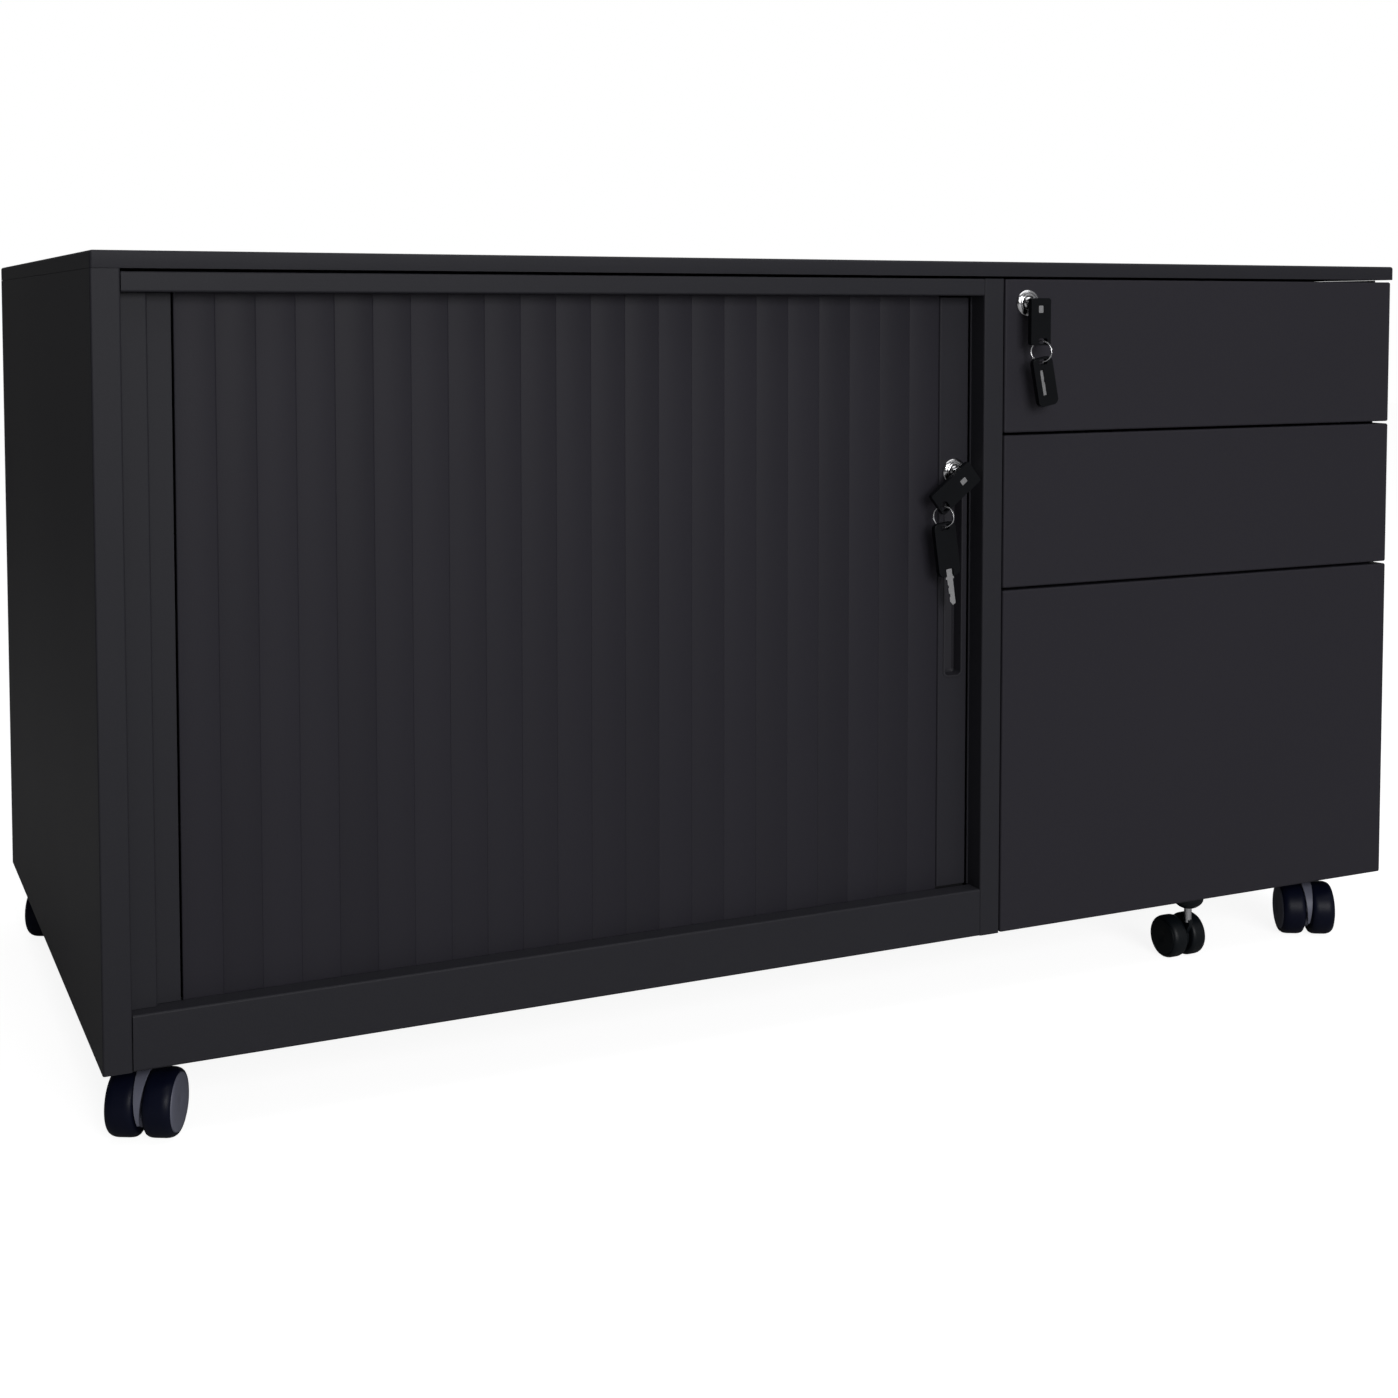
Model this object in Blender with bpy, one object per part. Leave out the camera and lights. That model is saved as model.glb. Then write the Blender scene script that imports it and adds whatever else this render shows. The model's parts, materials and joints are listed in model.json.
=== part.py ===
"""Mobile steel caddy cabinet: a tambour cupboard on the left and a three-drawer pedestal on the right.

Everything hangs from one empty, cabinet_frame, at the front-left-bottom corner of the steel body.
In its frame X runs to the right, Y runs back from the front plane and Z runs up, all in metres.
"""
import math

import bmesh
import bpy
from mathutils import Vector
from mathutils.geometry import convex_hull_2d

for leftover in list(bpy.data.objects):
    bpy.data.objects.remove(leftover)

# ---------------------------------------------------------------- driving dimensions
WIDTH = 1.200                  # over the top cap
DEPTH = 0.600                  # front plane to back
BODY_HEIGHT = 0.585            # steel body without castors
CASTOR_HEIGHT = 0.060          # floor to the underside of the body
FRONT_WIDTH = 0.4391           # drawer fronts
UPPER_FRONT_HEIGHT = 0.1326    # each of the two upper drawer fronts
FRONT_THICKNESS = 0.018
SHEET = 0.0010                 # folded steel sheet
HEAVY_SHEET = 0.0012           # cap, trays, runners
CAP_HEIGHT = 0.0125
CAP_OVERHANG = 0.003           # cap past the right end
REVEAL = 0.0022                # gap between the drawer fronts and under the cap
POST_GAP = 0.0012              # post to the drawer fronts
TOUCH = 0.0003                 # gap between pieces that touch
RUN_GAP = 0.0015               # gap beside sliding pieces
PAST = 0.010                   # cutters reach this far past what they cut

# cupboard front
RETURN_WIDTH = 0.0208
RETURN_DEPTH = 0.023
RIGHT_FLANGE = 0.0030          # front edge of the right side panel
BOTTOM_RAIL_HEIGHT = 0.041
TOP_RAIL_HEIGHT = 0.0145
TOP_RAIL_FLANGE = 0.0120
POST_WIDTH = 0.0199
POST_STRIP_WIDTH = 0.0015
STILE_WIDTH = 0.0295
STILE_DEPTH = 0.013
TAMBOUR_SETBACK = 0.0195       # slat faces behind the front plane
OUTER_STRIP_SETBACK = 0.0120
INNER_STRIP_SETBACK = 0.0172
OUTER_STRIP_WIDTH = 0.0192
INNER_STRIP_WIDTH = 0.0172
SLAT_COUNT = 22
SLAT_THICKNESS = 0.0050
GROOVE_WIDTH = 0.0030
GROOVE_DEPTH = 0.0024
CURTAIN_SIDE_GAP = 0.0025
TRACK_SLOT = 0.0074
TRACK_WALL = 0.0014
TRACK_HEIGHT = 0.0110
TRACK_RADIUS = 0.0325          # slot centre line round the front-left corner
TRACK_END_GAP = 0.040          # track end to the back panel
GUARD_GAP = 0.0060             # curtain guard to the track
GUARD_FLANGE = 0.0100
PULL_WIDTH = 0.017
PULL_HEIGHT = 0.160
PULL_DEPTH = 0.0095
PULL_CORNER = 0.0040
PULL_TOP_BELOW_LOCK = 0.0180
SHELF_HEIGHT = 0.300
SHELF_THICKNESS = 0.020
SHELF_GAP = 0.0021             # behind the curtain guard's front flange
SHELF_SIDE_GAP = 0.0060        # for the clips at the shelf's ends
PULL_RIM = 0.0040              # cup past the slot, all round

# locks and keys
LOCK_RADIUS = 0.0115
LOCK_FLANGE = 0.0033
LOCK_BEVEL = 0.0012
PLUG_PROUD = 0.0008            # plug face in front of the rosette
BARREL_RADIUS = 0.0092
BARREL_DEPTH = 0.0155
PLUG_RADIUS = 0.0053
PLUG_CLEARANCE = 0.0003
KEY_THICKNESS = 0.0050
HEAD_CORNER = 0.0014
SPARE_CORNER = 0.0040
# key heads: length, width, fold axis from the upper end, centre line to the right of the axis
TAMBOUR_HEAD = (0.0470, 0.0210, 0.0085, 0.0048)
DRAWER_HEAD = (0.0405, 0.0200, 0.0040, 0.0018)
# ring eyes: from the lower end, from the right edge, half height, half length, corner
TAMBOUR_EYE = (0.0055, 0.0055, 0.0040, 0.0040, 0.0030)
DRAWER_EYE = (0.0038, 0.0078, 0.0024, 0.0046, 0.0020)
SPARE_EYE = (0.0024, 0.0046, 0.0020)
SPARE_EYE_INSET = 0.0038
TAMBOUR_SPARE = (0.0460, 0.0210)
DRAWER_SPARE = (0.0420, 0.0200)
BLADE_WIDTH = 0.0060
BLADE_THICKNESS = 0.0020
BLADE_LENGTH = 0.026
KEY_STANDOFF = 0.0125          # fold axis in front of the lock face
NOTCH_MARGIN = 0.0015          # past the blade, so that the head can fold
RING_RADIUS = 0.0090
RING_WIRE = 0.0007
RING_TURN = math.radians(-50)  # ring plane against the cabinet front
TAMBOUR_KEY_TILT = math.radians(142)
DRAWER_KEY_TILT = math.radians(90)
TAMBOUR_SPARE_TILT = math.radians(82)
DRAWER_SPARE_TILT = math.radians(79)
TAMBOUR_LOCK_INSET = 0.0146    # from the right edge of the stile
TAMBOUR_LOCK_HEIGHT = 0.4046
DRAWER_LOCK_INSET = 0.0225     # from the left edge of the drawer front
DRAWER_LOCK_DROP = 0.0205      # from the top edge of the drawer front
BOLT_HEIGHT = 0.012
BOLT_LENGTH = 0.016
BOLT_THICKNESS = 0.003

# drawers and runners
RUNNER_WIDTH = 0.0100
RUNNER_HEIGHT = 0.040
RUNNER_FRONT = 0.041
RUNNER_BACK_GAP = 0.030
SLIDE_CLEARANCE = 0.0007
STRAP_WIDTH = 0.022
TRAY_DROP = 0.0340             # tray top below the top of its front
TRAY_RISE = 0.0120             # tray bottom above the bottom of its front
FILE_TRAY_RISE = 0.0320
TRAY_BACK_GAP = 0.045
TRAY_SIDE_GAP = 0.0030         # tray side to the runner's mouth
RUNNER_RISE = 0.0270           # runner centre above the tray bottom
LOCK_BAR_WIDTH = 0.012
LOCK_BAR_FRONT = 0.0252
LUG_HEIGHT = 0.0050
LOCK_LIFT = 0.0100             # of the lock bar
CATCH_DEPTH = 0.0022
CATCH_DROP = 0.0085            # below the slide, so that a raised lug stops it
CAM_REACH = 0.0205
CAM_WIDTH = 0.0080
CAM_THICKNESS = 0.0020

# base and castors
BASE_HEIGHT = 0.020
WHEEL_DIAMETER = 0.050
WHEEL_WIDTH = 0.0225
WEB_THICKNESS = 0.0040
WEB_GAP = 0.0007
WEB_SHARE = 0.70               # of the wheel's radius
CASTOR_TRAIL = 0.018
CASTOR_LEFT_INSET = 0.0435     # swivel axis from the left end
CASTOR_RIGHT_INSET = 0.058
CASTOR_DEPTH_INSET = 0.047     # from the front and from the back
CASTOR_TURN = math.radians(-28)
STEM_RADIUS = 0.0055
AXLE_RADIUS = 0.0028
AXLE_CLEARANCE = 0.0003
BORE_SHARE = 0.75              # of the wheel's width
FILE_WHEEL_DIAMETER = 0.039
FILE_WHEEL_WIDTH = 0.0160
FILE_TRAIL = 0.014
FILE_STEM_RADIUS = 0.0035
FILE_STEM_SETBACK = 0.0165
DOME_RADIUS = 0.0140
DOME_HEIGHT = 0.0110

# ---------------------------------------------------------------- derived lines
KEY_REACH = LOCK_FLANGE + KEY_STANDOFF + (RING_RADIUS + RING_WIRE) * math.sin(-RING_TURN)
BODY_RIGHT = WIDTH - CAP_OVERHANG
CAP_UNDERSIDE = BODY_HEIGHT - CAP_HEIGHT
FRONT_LEFT = BODY_RIGHT - FRONT_WIDTH
POST_RIGHT = FRONT_LEFT - POST_GAP
POST_LEFT = POST_RIGHT - POST_WIDTH
STRIP_LEFT = POST_LEFT - POST_STRIP_WIDTH
STILE_RIGHT = STRIP_LEFT - RUN_GAP
STILE_LEFT = STILE_RIGHT - STILE_WIDTH
OUTER_STRIP_LEFT = RETURN_WIDTH + 2 * TOUCH
OUTER_STRIP_RIGHT = OUTER_STRIP_LEFT + OUTER_STRIP_WIDTH
INNER_STRIP_RIGHT = OUTER_STRIP_RIGHT + INNER_STRIP_WIDTH
CURTAIN_LEFT = INNER_STRIP_RIGHT + CURTAIN_SIDE_GAP
CURTAIN_RIGHT = STILE_LEFT - TOUCH
SLAT_PITCH = (CURTAIN_RIGHT - CURTAIN_LEFT) / SLAT_COUNT
CURTAIN_FRONT = TAMBOUR_SETBACK + 0.0010
TRACK_CENTRE = CURTAIN_FRONT + SLAT_THICKNESS / 2
TRACK_OUTER = TRACK_CENTRE - TRACK_SLOT / 2 - TRACK_WALL
TOP_RAIL_TOP = CAP_UNDERSIDE - REVEAL
TOP_RAIL_BOTTOM = TOP_RAIL_TOP - TOP_RAIL_HEIGHT
TRACK_SIDE = CURTAIN_LEFT + 0.002 - TRACK_RADIUS
TRACK_INNER_FACE = TRACK_SIDE + TRACK_SLOT / 2 + TRACK_WALL
TRACK_BACK = DEPTH - TRACK_END_GAP
GUARD_FRONT = TRACK_CENTRE + TRACK_RADIUS + TRACK_WALL
DIVIDER_RIGHT = POST_RIGHT - TOUCH   # so that the drawer slides pass the post
DIVIDER_LEFT = DIVIDER_RIGHT - SHEET
PEDESTAL_LEFT = DIVIDER_RIGHT + TOUCH
PEDESTAL_RIGHT = BODY_RIGHT - SHEET - TOUCH
PEDESTAL_CENTRE = (PEDESTAL_LEFT + PEDESTAL_RIGHT) / 2
BASE_FRONT = RETURN_DEPTH + 0.001
BACK_INNER = DEPTH - 2 * SHEET - TOUCH
WALL_TOP = CAP_UNDERSIDE - TOUCH
FRONT_TOP = CAP_UNDERSIDE - REVEAL
STRAP_FACE = PEDESTAL_LEFT + HEAVY_SHEET
RUNNER_WEB = PEDESTAL_LEFT + HEAVY_SHEET / 2
RUNNER_MOUTH = RUNNER_WEB + RUNNER_WIDTH
RUNNER_BACK = BACK_INNER - RUNNER_BACK_GAP
SLIDE_HALF = RUNNER_HEIGHT / 2 - HEAVY_SHEET - SLIDE_CLEARANCE
SLIDE_FRONT = RUNNER_FRONT - CATCH_DEPTH - TOUCH
TRAY_LEFT = RUNNER_MOUTH + TRAY_SIDE_GAP
FILE_FRONT_HEIGHT = FRONT_TOP - 2 * (UPPER_FRONT_HEIGHT + REVEAL)
TAMBOUR_LOCK_X = STILE_RIGHT - TAMBOUR_LOCK_INSET
DRAWER_LOCK_X = FRONT_LEFT + DRAWER_LOCK_INSET
DRAWER_LOCK_Z = FRONT_TOP - DRAWER_LOCK_DROP

# every drawer: name, bottom of its front, height of its front, rise of its tray
DRAWERS = (
    ("top", FRONT_TOP - UPPER_FRONT_HEIGHT, UPPER_FRONT_HEIGHT, TRAY_RISE),
    ("middle", FRONT_TOP - 2 * UPPER_FRONT_HEIGHT - REVEAL, UPPER_FRONT_HEIGHT, TRAY_RISE),
    ("file", 0.0, FILE_FRONT_HEIGHT, FILE_TRAY_RISE),
)

# ---------------------------------------------------------------- finishes
FINISHES = {
    "graphite": ((0.030, 0.030, 0.036), 0.45, 0.0),
    "dark": ((0.012, 0.012, 0.015), 0.60, 0.0),
    "black plastic": ((0.008, 0.010, 0.012), 0.40, 0.0),
    "tyre": ((0.006, 0.007, 0.012), 0.55, 0.0),
    "grey plastic": ((0.090, 0.090, 0.130), 0.45, 0.0),
    "chrome": ((0.800, 0.800, 0.820), 0.12, 1.0),
    "zinc": ((0.550, 0.560, 0.580), 0.35, 1.0),
}


def finish(name, kind):
    colour, roughness, metallic = FINISHES[kind]
    material = bpy.data.materials.new(name)
    material.use_nodes = True
    shader = material.node_tree.nodes["Principled BSDF"]
    shader.inputs["Base Color"].default_value = (*colour, 1.0)
    shader.inputs["Roughness"].default_value = roughness
    shader.inputs["Metallic"].default_value = metallic
    material.diffuse_color = (*colour, 1.0)
    return material


def empty(name, place, parent=None, turn=0.0):
    holder = bpy.data.objects.new(name, None)
    bpy.context.collection.objects.link(holder)
    holder.location = place
    holder.rotation_euler = (0.0, 0.0, turn)
    holder.parent = parent
    return holder


def place_mesh(name, bm, kind, origin=(0, 0, 0), parent=None, tilt=0.0, smooth=False):
    """Makes an object of bm. Its points are in the parent's frame, or about origin if tilt is used."""
    if not tilt:
        bmesh.ops.translate(bm, verts=bm.verts, vec=-Vector(origin))
    bmesh.ops.recalc_face_normals(bm, faces=bm.faces)
    mesh = bpy.data.meshes.new(name)
    bm.to_mesh(mesh)
    bm.free()
    if smooth:
        mesh.shade_smooth()
        mesh.set_sharp_from_angle(angle=math.radians(35))
    mesh.materials.append(finish(name, kind))
    piece = bpy.data.objects.new(name, mesh)
    bpy.context.collection.objects.link(piece)
    piece.location = origin
    piece.rotation_euler = (0.0, tilt, 0.0)
    piece.parent = parent or frame
    return piece


def tool(name, bm, like):
    """A cutter or an addition that shares the place of the piece like."""
    helper = place_mesh(name, bm, "dark")
    helper.parent = like.parent
    helper.location = like.location
    helper.rotation_euler = like.rotation_euler
    helper.hide_render = True
    helper.display_type = "WIRE"
    return helper


def combine(piece, operation, bm):
    """Adds to the piece, or cuts from it, a shape whose points are given in the piece's own frame."""
    step = piece.modifiers.new(operation.title(), "BOOLEAN")
    step.operation = operation
    step.solver = "EXACT"
    step.object = tool(f"{piece.name}_tool_{len(piece.modifiers)}", bm, piece)


# ---------------------------------------------------------------- shape makers
def block(low, high):
    bm = bmesh.new()
    bmesh.ops.create_cube(bm, size=1.0)
    size = [b - a for a, b in zip(low, high)]
    middle = [(a + b) / 2 for a, b in zip(low, high)]
    bmesh.ops.scale(bm, vec=size, verts=bm.verts)
    bmesh.ops.translate(bm, vec=middle, verts=bm.verts)
    return bm


def pan(low, high, wall, axis, side):
    """An open box: the face of the block towards side along axis is left open."""
    bm = block(low, high)
    bm.faces.ensure_lookup_table()
    mouth = max(bm.faces, key=lambda face: face.calc_center_median()[axis] * side)
    bmesh.ops.inset_region(bm, faces=[mouth], thickness=wall, use_even_offset=True)
    deep = bmesh.ops.extrude_discrete_faces(bm, faces=[mouth])["faces"]
    inward = Vector((0, 0, 0))
    inward[axis] = -side * (high[axis] - low[axis] - wall)
    bmesh.ops.translate(bm, vec=inward, verts=deep[0].verts)
    return bm


def prism(outline, axis, start, end):
    """The outline, in the plane across axis, drawn out from start to end. Axis Y takes (x, z) points."""
    put = {
        "X": lambda a, b, c: (c, a, b),
        "Y": lambda a, b, c: (a, c, b),
        "Z": lambda a, b, c: (a, b, c),
    }[axis]
    bm = bmesh.new()
    near = [bm.verts.new(put(a, b, start)) for a, b in outline]
    far = [bm.verts.new(put(a, b, end)) for a, b in outline]
    bm.faces.new(near)
    bm.faces.new(far[::-1])
    for i in range(len(outline)):
        j = (i + 1) % len(outline)
        bm.faces.new((near[i], far[i], far[j], near[j]))
    return bm


def folded(line, thickness):
    """The section of a folded sheet: the line is one face, and the sheet lies to its left."""
    inner = []
    for i, point in enumerate(line):
        here = Vector(point)
        normals = []
        for a, b in ((i - 1, i), (i, i + 1)):
            if a >= 0 and b < len(line):
                along = (Vector(line[b]) - Vector(line[a])).normalized()
                normals.append(Vector((-along.y, along.x)))
        mean = sum(normals, Vector((0, 0))) / len(normals)
        inner.append(tuple(here + mean * thickness / mean.length_squared))
    return list(line) + inner[::-1]


def turned(profile, axis="Z", centre=(0, 0, 0), segments=24):
    """Turns (radius, along) points round the axis. A profile whose ends have radius 0 closes on itself."""
    bm = bmesh.new()
    put = {
        "X": lambda u, v, w: (w, u, v),
        "Y": lambda u, v, w: (u, w, v),
        "Z": lambda u, v, w: (u, v, w),
    }[axis]
    rings = []
    for radius, along in profile:
        count = 1 if radius == 0 else segments
        ring = []
        for k in range(count):
            angle = 2 * math.pi * k / segments
            point = Vector(put(radius * math.cos(angle), radius * math.sin(angle), along))
            ring.append(bm.verts.new(point + Vector(centre)))
        rings.append(ring)
    pairs = list(zip(rings, rings[1:]))
    if profile[0][0] and profile[-1][0]:
        pairs.append((rings[-1], rings[0]))
    for a, b in pairs:
        for k in range(segments):
            n = (k + 1) % segments
            corners = [a[k % len(a)], a[n % len(a)], b[n % len(b)], b[k % len(b)]]
            bm.faces.new(list(dict.fromkeys(corners)))
    return bm


def swept(path, section):
    """Carries a closed (offset, height) section along a level path of (x, y) points."""
    bm = bmesh.new()
    rings = []
    for i, point in enumerate(path):
        a = Vector(path[max(i - 1, 0)])
        b = Vector(path[min(i + 1, len(path) - 1)])
        along = (b - a).normalized()
        across = Vector((-along.y, along.x))
        here = Vector(point)
        rings.append([bm.verts.new((*(here + across * u), z)) for u, z in section])
    count = len(section)
    for near, far in zip(rings, rings[1:]):
        for k in range(count):
            bm.faces.new((near[k], near[(k + 1) % count], far[(k + 1) % count], far[k]))
    bm.faces.new(rings[0])
    bm.faces.new(rings[-1][::-1])
    return bm


def torus(radius, wire, centre, turn, steps=24, sides=8):
    """A ring that stands upright, its plane turned about Z from the XZ plane."""
    bm = bmesh.new()
    rings = []
    for i in range(steps):
        a = 2 * math.pi * i / steps
        ring = []
        for k in range(sides):
            b = 2 * math.pi * k / sides
            reach = radius + wire * math.cos(b)
            flat = Vector((reach * math.cos(a), wire * math.sin(b)))
            x = flat.x * math.cos(turn) - flat.y * math.sin(turn)
            y = flat.x * math.sin(turn) + flat.y * math.cos(turn)
            ring.append(bm.verts.new(Vector((x, y, reach * math.sin(a))) + Vector(centre)))
        rings.append(ring)
    for i in range(steps):
        for k in range(sides):
            n, m = (i + 1) % steps, (k + 1) % sides
            bm.faces.new((rings[i][k], rings[n][k], rings[n][m], rings[i][m]))
    return bm


def rounded(low, high, radius, steps=3):
    """A rectangle with round corners, as points round its edge."""
    corners = (
        (high[0] - radius, high[1] - radius, 0),
        (low[0] + radius, high[1] - radius, 90),
        (low[0] + radius, low[1] + radius, 180),
        (high[0] - radius, low[1] + radius, 270),
    )
    points = []
    for x, y, start in corners:
        for k in range(steps + 1):
            angle = math.radians(start + 90 * k / steps)
            points.append((x + radius * math.cos(angle), y + radius * math.sin(angle)))
    return points


def round_bar(radius, axis, centre, start, end, segments=20):
    return turned([(0, start), (radius, start), (radius, end), (0, end)], axis, centre, segments)


# The footprint, keys included, is centred on the world origin, and the floor is at Z = 0.
frame = empty("cabinet_frame", (-WIDTH / 2, -(DEPTH - KEY_REACH) / 2, CASTOR_HEIGHT))


# ---------------------------------------------------------------- carcass
def make_carcass():
    cap = pan((0, 0, CAP_UNDERSIDE), (WIDTH, DEPTH, BODY_HEIGHT), HEAVY_SHEET, 2, -1)
    place_mesh("top_cap", cap, "graphite")

    left_line = [
        (RETURN_WIDTH, DEPTH), (0, DEPTH), (0, 0), (RETURN_WIDTH, 0), (RETURN_WIDTH, RETURN_DEPTH),
    ]
    left = prism(folded(left_line, SHEET), "Z", 0, WALL_TOP)
    place_mesh("left_side_panel", left, "graphite")

    right_front = FRONT_THICKNESS + RUN_GAP
    right_line = [
        (BODY_RIGHT - RIGHT_FLANGE, right_front), (BODY_RIGHT, right_front),
        (BODY_RIGHT, DEPTH), (BODY_RIGHT - RETURN_WIDTH, DEPTH),
    ]
    right = prism(folded(right_line, SHEET), "Z", 0, WALL_TOP)
    place_mesh("right_side_panel", right, "graphite")

    back_low = (SHEET + TOUCH, BACK_INNER, 0)
    back_high = (BODY_RIGHT - SHEET - TOUCH, BACK_INNER + SHEET, WALL_TOP)
    place_mesh("back_panel", block(back_low, back_high), "graphite")

    base_low = (SHEET + TOUCH, BASE_FRONT, 0)
    base_high = (BODY_RIGHT - SHEET - TOUCH, BACK_INNER - TOUCH, BASE_HEIGHT)
    place_mesh("base_pan", pan(base_low, base_high, HEAVY_SHEET, 2, -1), "graphite")

    divider_low = (DIVIDER_LEFT, BASE_FRONT + POST_WIDTH, BASE_HEIGHT + TOUCH)
    divider_high = (DIVIDER_RIGHT, BACK_INNER - TOUCH, WALL_TOP)
    place_mesh("divider_panel", block(divider_low, divider_high), "graphite")


def make_cupboard_front():
    # each rail's section is drawn from its top edge, as (y, z)
    top_line = [
        (TOP_RAIL_FLANGE, TOP_RAIL_TOP), (0, TOP_RAIL_TOP),
        (0, TOP_RAIL_BOTTOM), (TAMBOUR_SETBACK, TOP_RAIL_BOTTOM),
    ]
    rail_left, rail_right = RETURN_WIDTH + TOUCH, POST_LEFT - TOUCH
    place_mesh("top_rail", prism(folded(top_line, SHEET), "X", rail_left, rail_right), "graphite")

    bottom_line = [
        (TRACK_OUTER - TOUCH, BOTTOM_RAIL_HEIGHT), (0, BOTTOM_RAIL_HEIGHT),
        (0, 0), (BASE_FRONT - 2 * TOUCH, 0),
    ]
    place_mesh("bottom_rail", prism(folded(bottom_line, SHEET), "X", rail_left, rail_right), "graphite")

    post_line = [
        (STRIP_LEFT, TAMBOUR_SETBACK), (POST_LEFT, TAMBOUR_SETBACK), (POST_LEFT, 0),
        (POST_RIGHT, 0), (POST_RIGHT, BASE_FRONT - TOUCH),
    ]
    post = place_mesh("centre_post", prism(folded(post_line, SHEET), "Z", 0, TOP_RAIL_TOP), "graphite")
    # the strip beside the curtain ends at the two rails
    for bottom, top in ((-PAST, BOTTOM_RAIL_HEIGHT + TOUCH), (TOP_RAIL_BOTTOM - TOUCH, BODY_HEIGHT)):
        low = (STRIP_LEFT - PAST, -PAST, bottom)
        high = (POST_LEFT - TOUCH, RETURN_DEPTH + PAST, top)
        combine(post, "DIFFERENCE", block(low, high))

    strip_line = [
        (OUTER_STRIP_LEFT, OUTER_STRIP_SETBACK), (OUTER_STRIP_RIGHT, OUTER_STRIP_SETBACK),
        (OUTER_STRIP_RIGHT, INNER_STRIP_SETBACK), (INNER_STRIP_RIGHT, INNER_STRIP_SETBACK),
    ]
    strip = prism(folded(strip_line, SHEET), "Z", BOTTOM_RAIL_HEIGHT + TOUCH, TOP_RAIL_BOTTOM - TOUCH)
    place_mesh("left_guide_strip", strip, "graphite")


def track_path():
    """The curtain's way: along the front, round the left corner and back along the left side."""
    centre = Vector((TRACK_SIDE + TRACK_RADIUS, TRACK_CENTRE + TRACK_RADIUS))
    points = [(POST_LEFT - 2 * TOUCH, TRACK_CENTRE)]
    for k in range(7):
        angle = math.radians(270 - 15 * k)
        reach = Vector((math.cos(angle), math.sin(angle))) * TRACK_RADIUS
        points.append(tuple(centre + reach))
    points.append((TRACK_SIDE, TRACK_BACK))
    return points


def track_section(floor, rise):
    """A channel section, opening towards rise, whose web stands on floor."""
    half = TRACK_SLOT / 2
    outer = half + TRACK_WALL
    web = floor + TRACK_WALL * rise
    mouth = floor + TRACK_HEIGHT * rise
    return [
        (-outer, floor), (outer, floor), (outer, mouth), (half, mouth),
        (half, web), (-half, web), (-half, mouth), (-outer, mouth),
    ]


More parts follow.
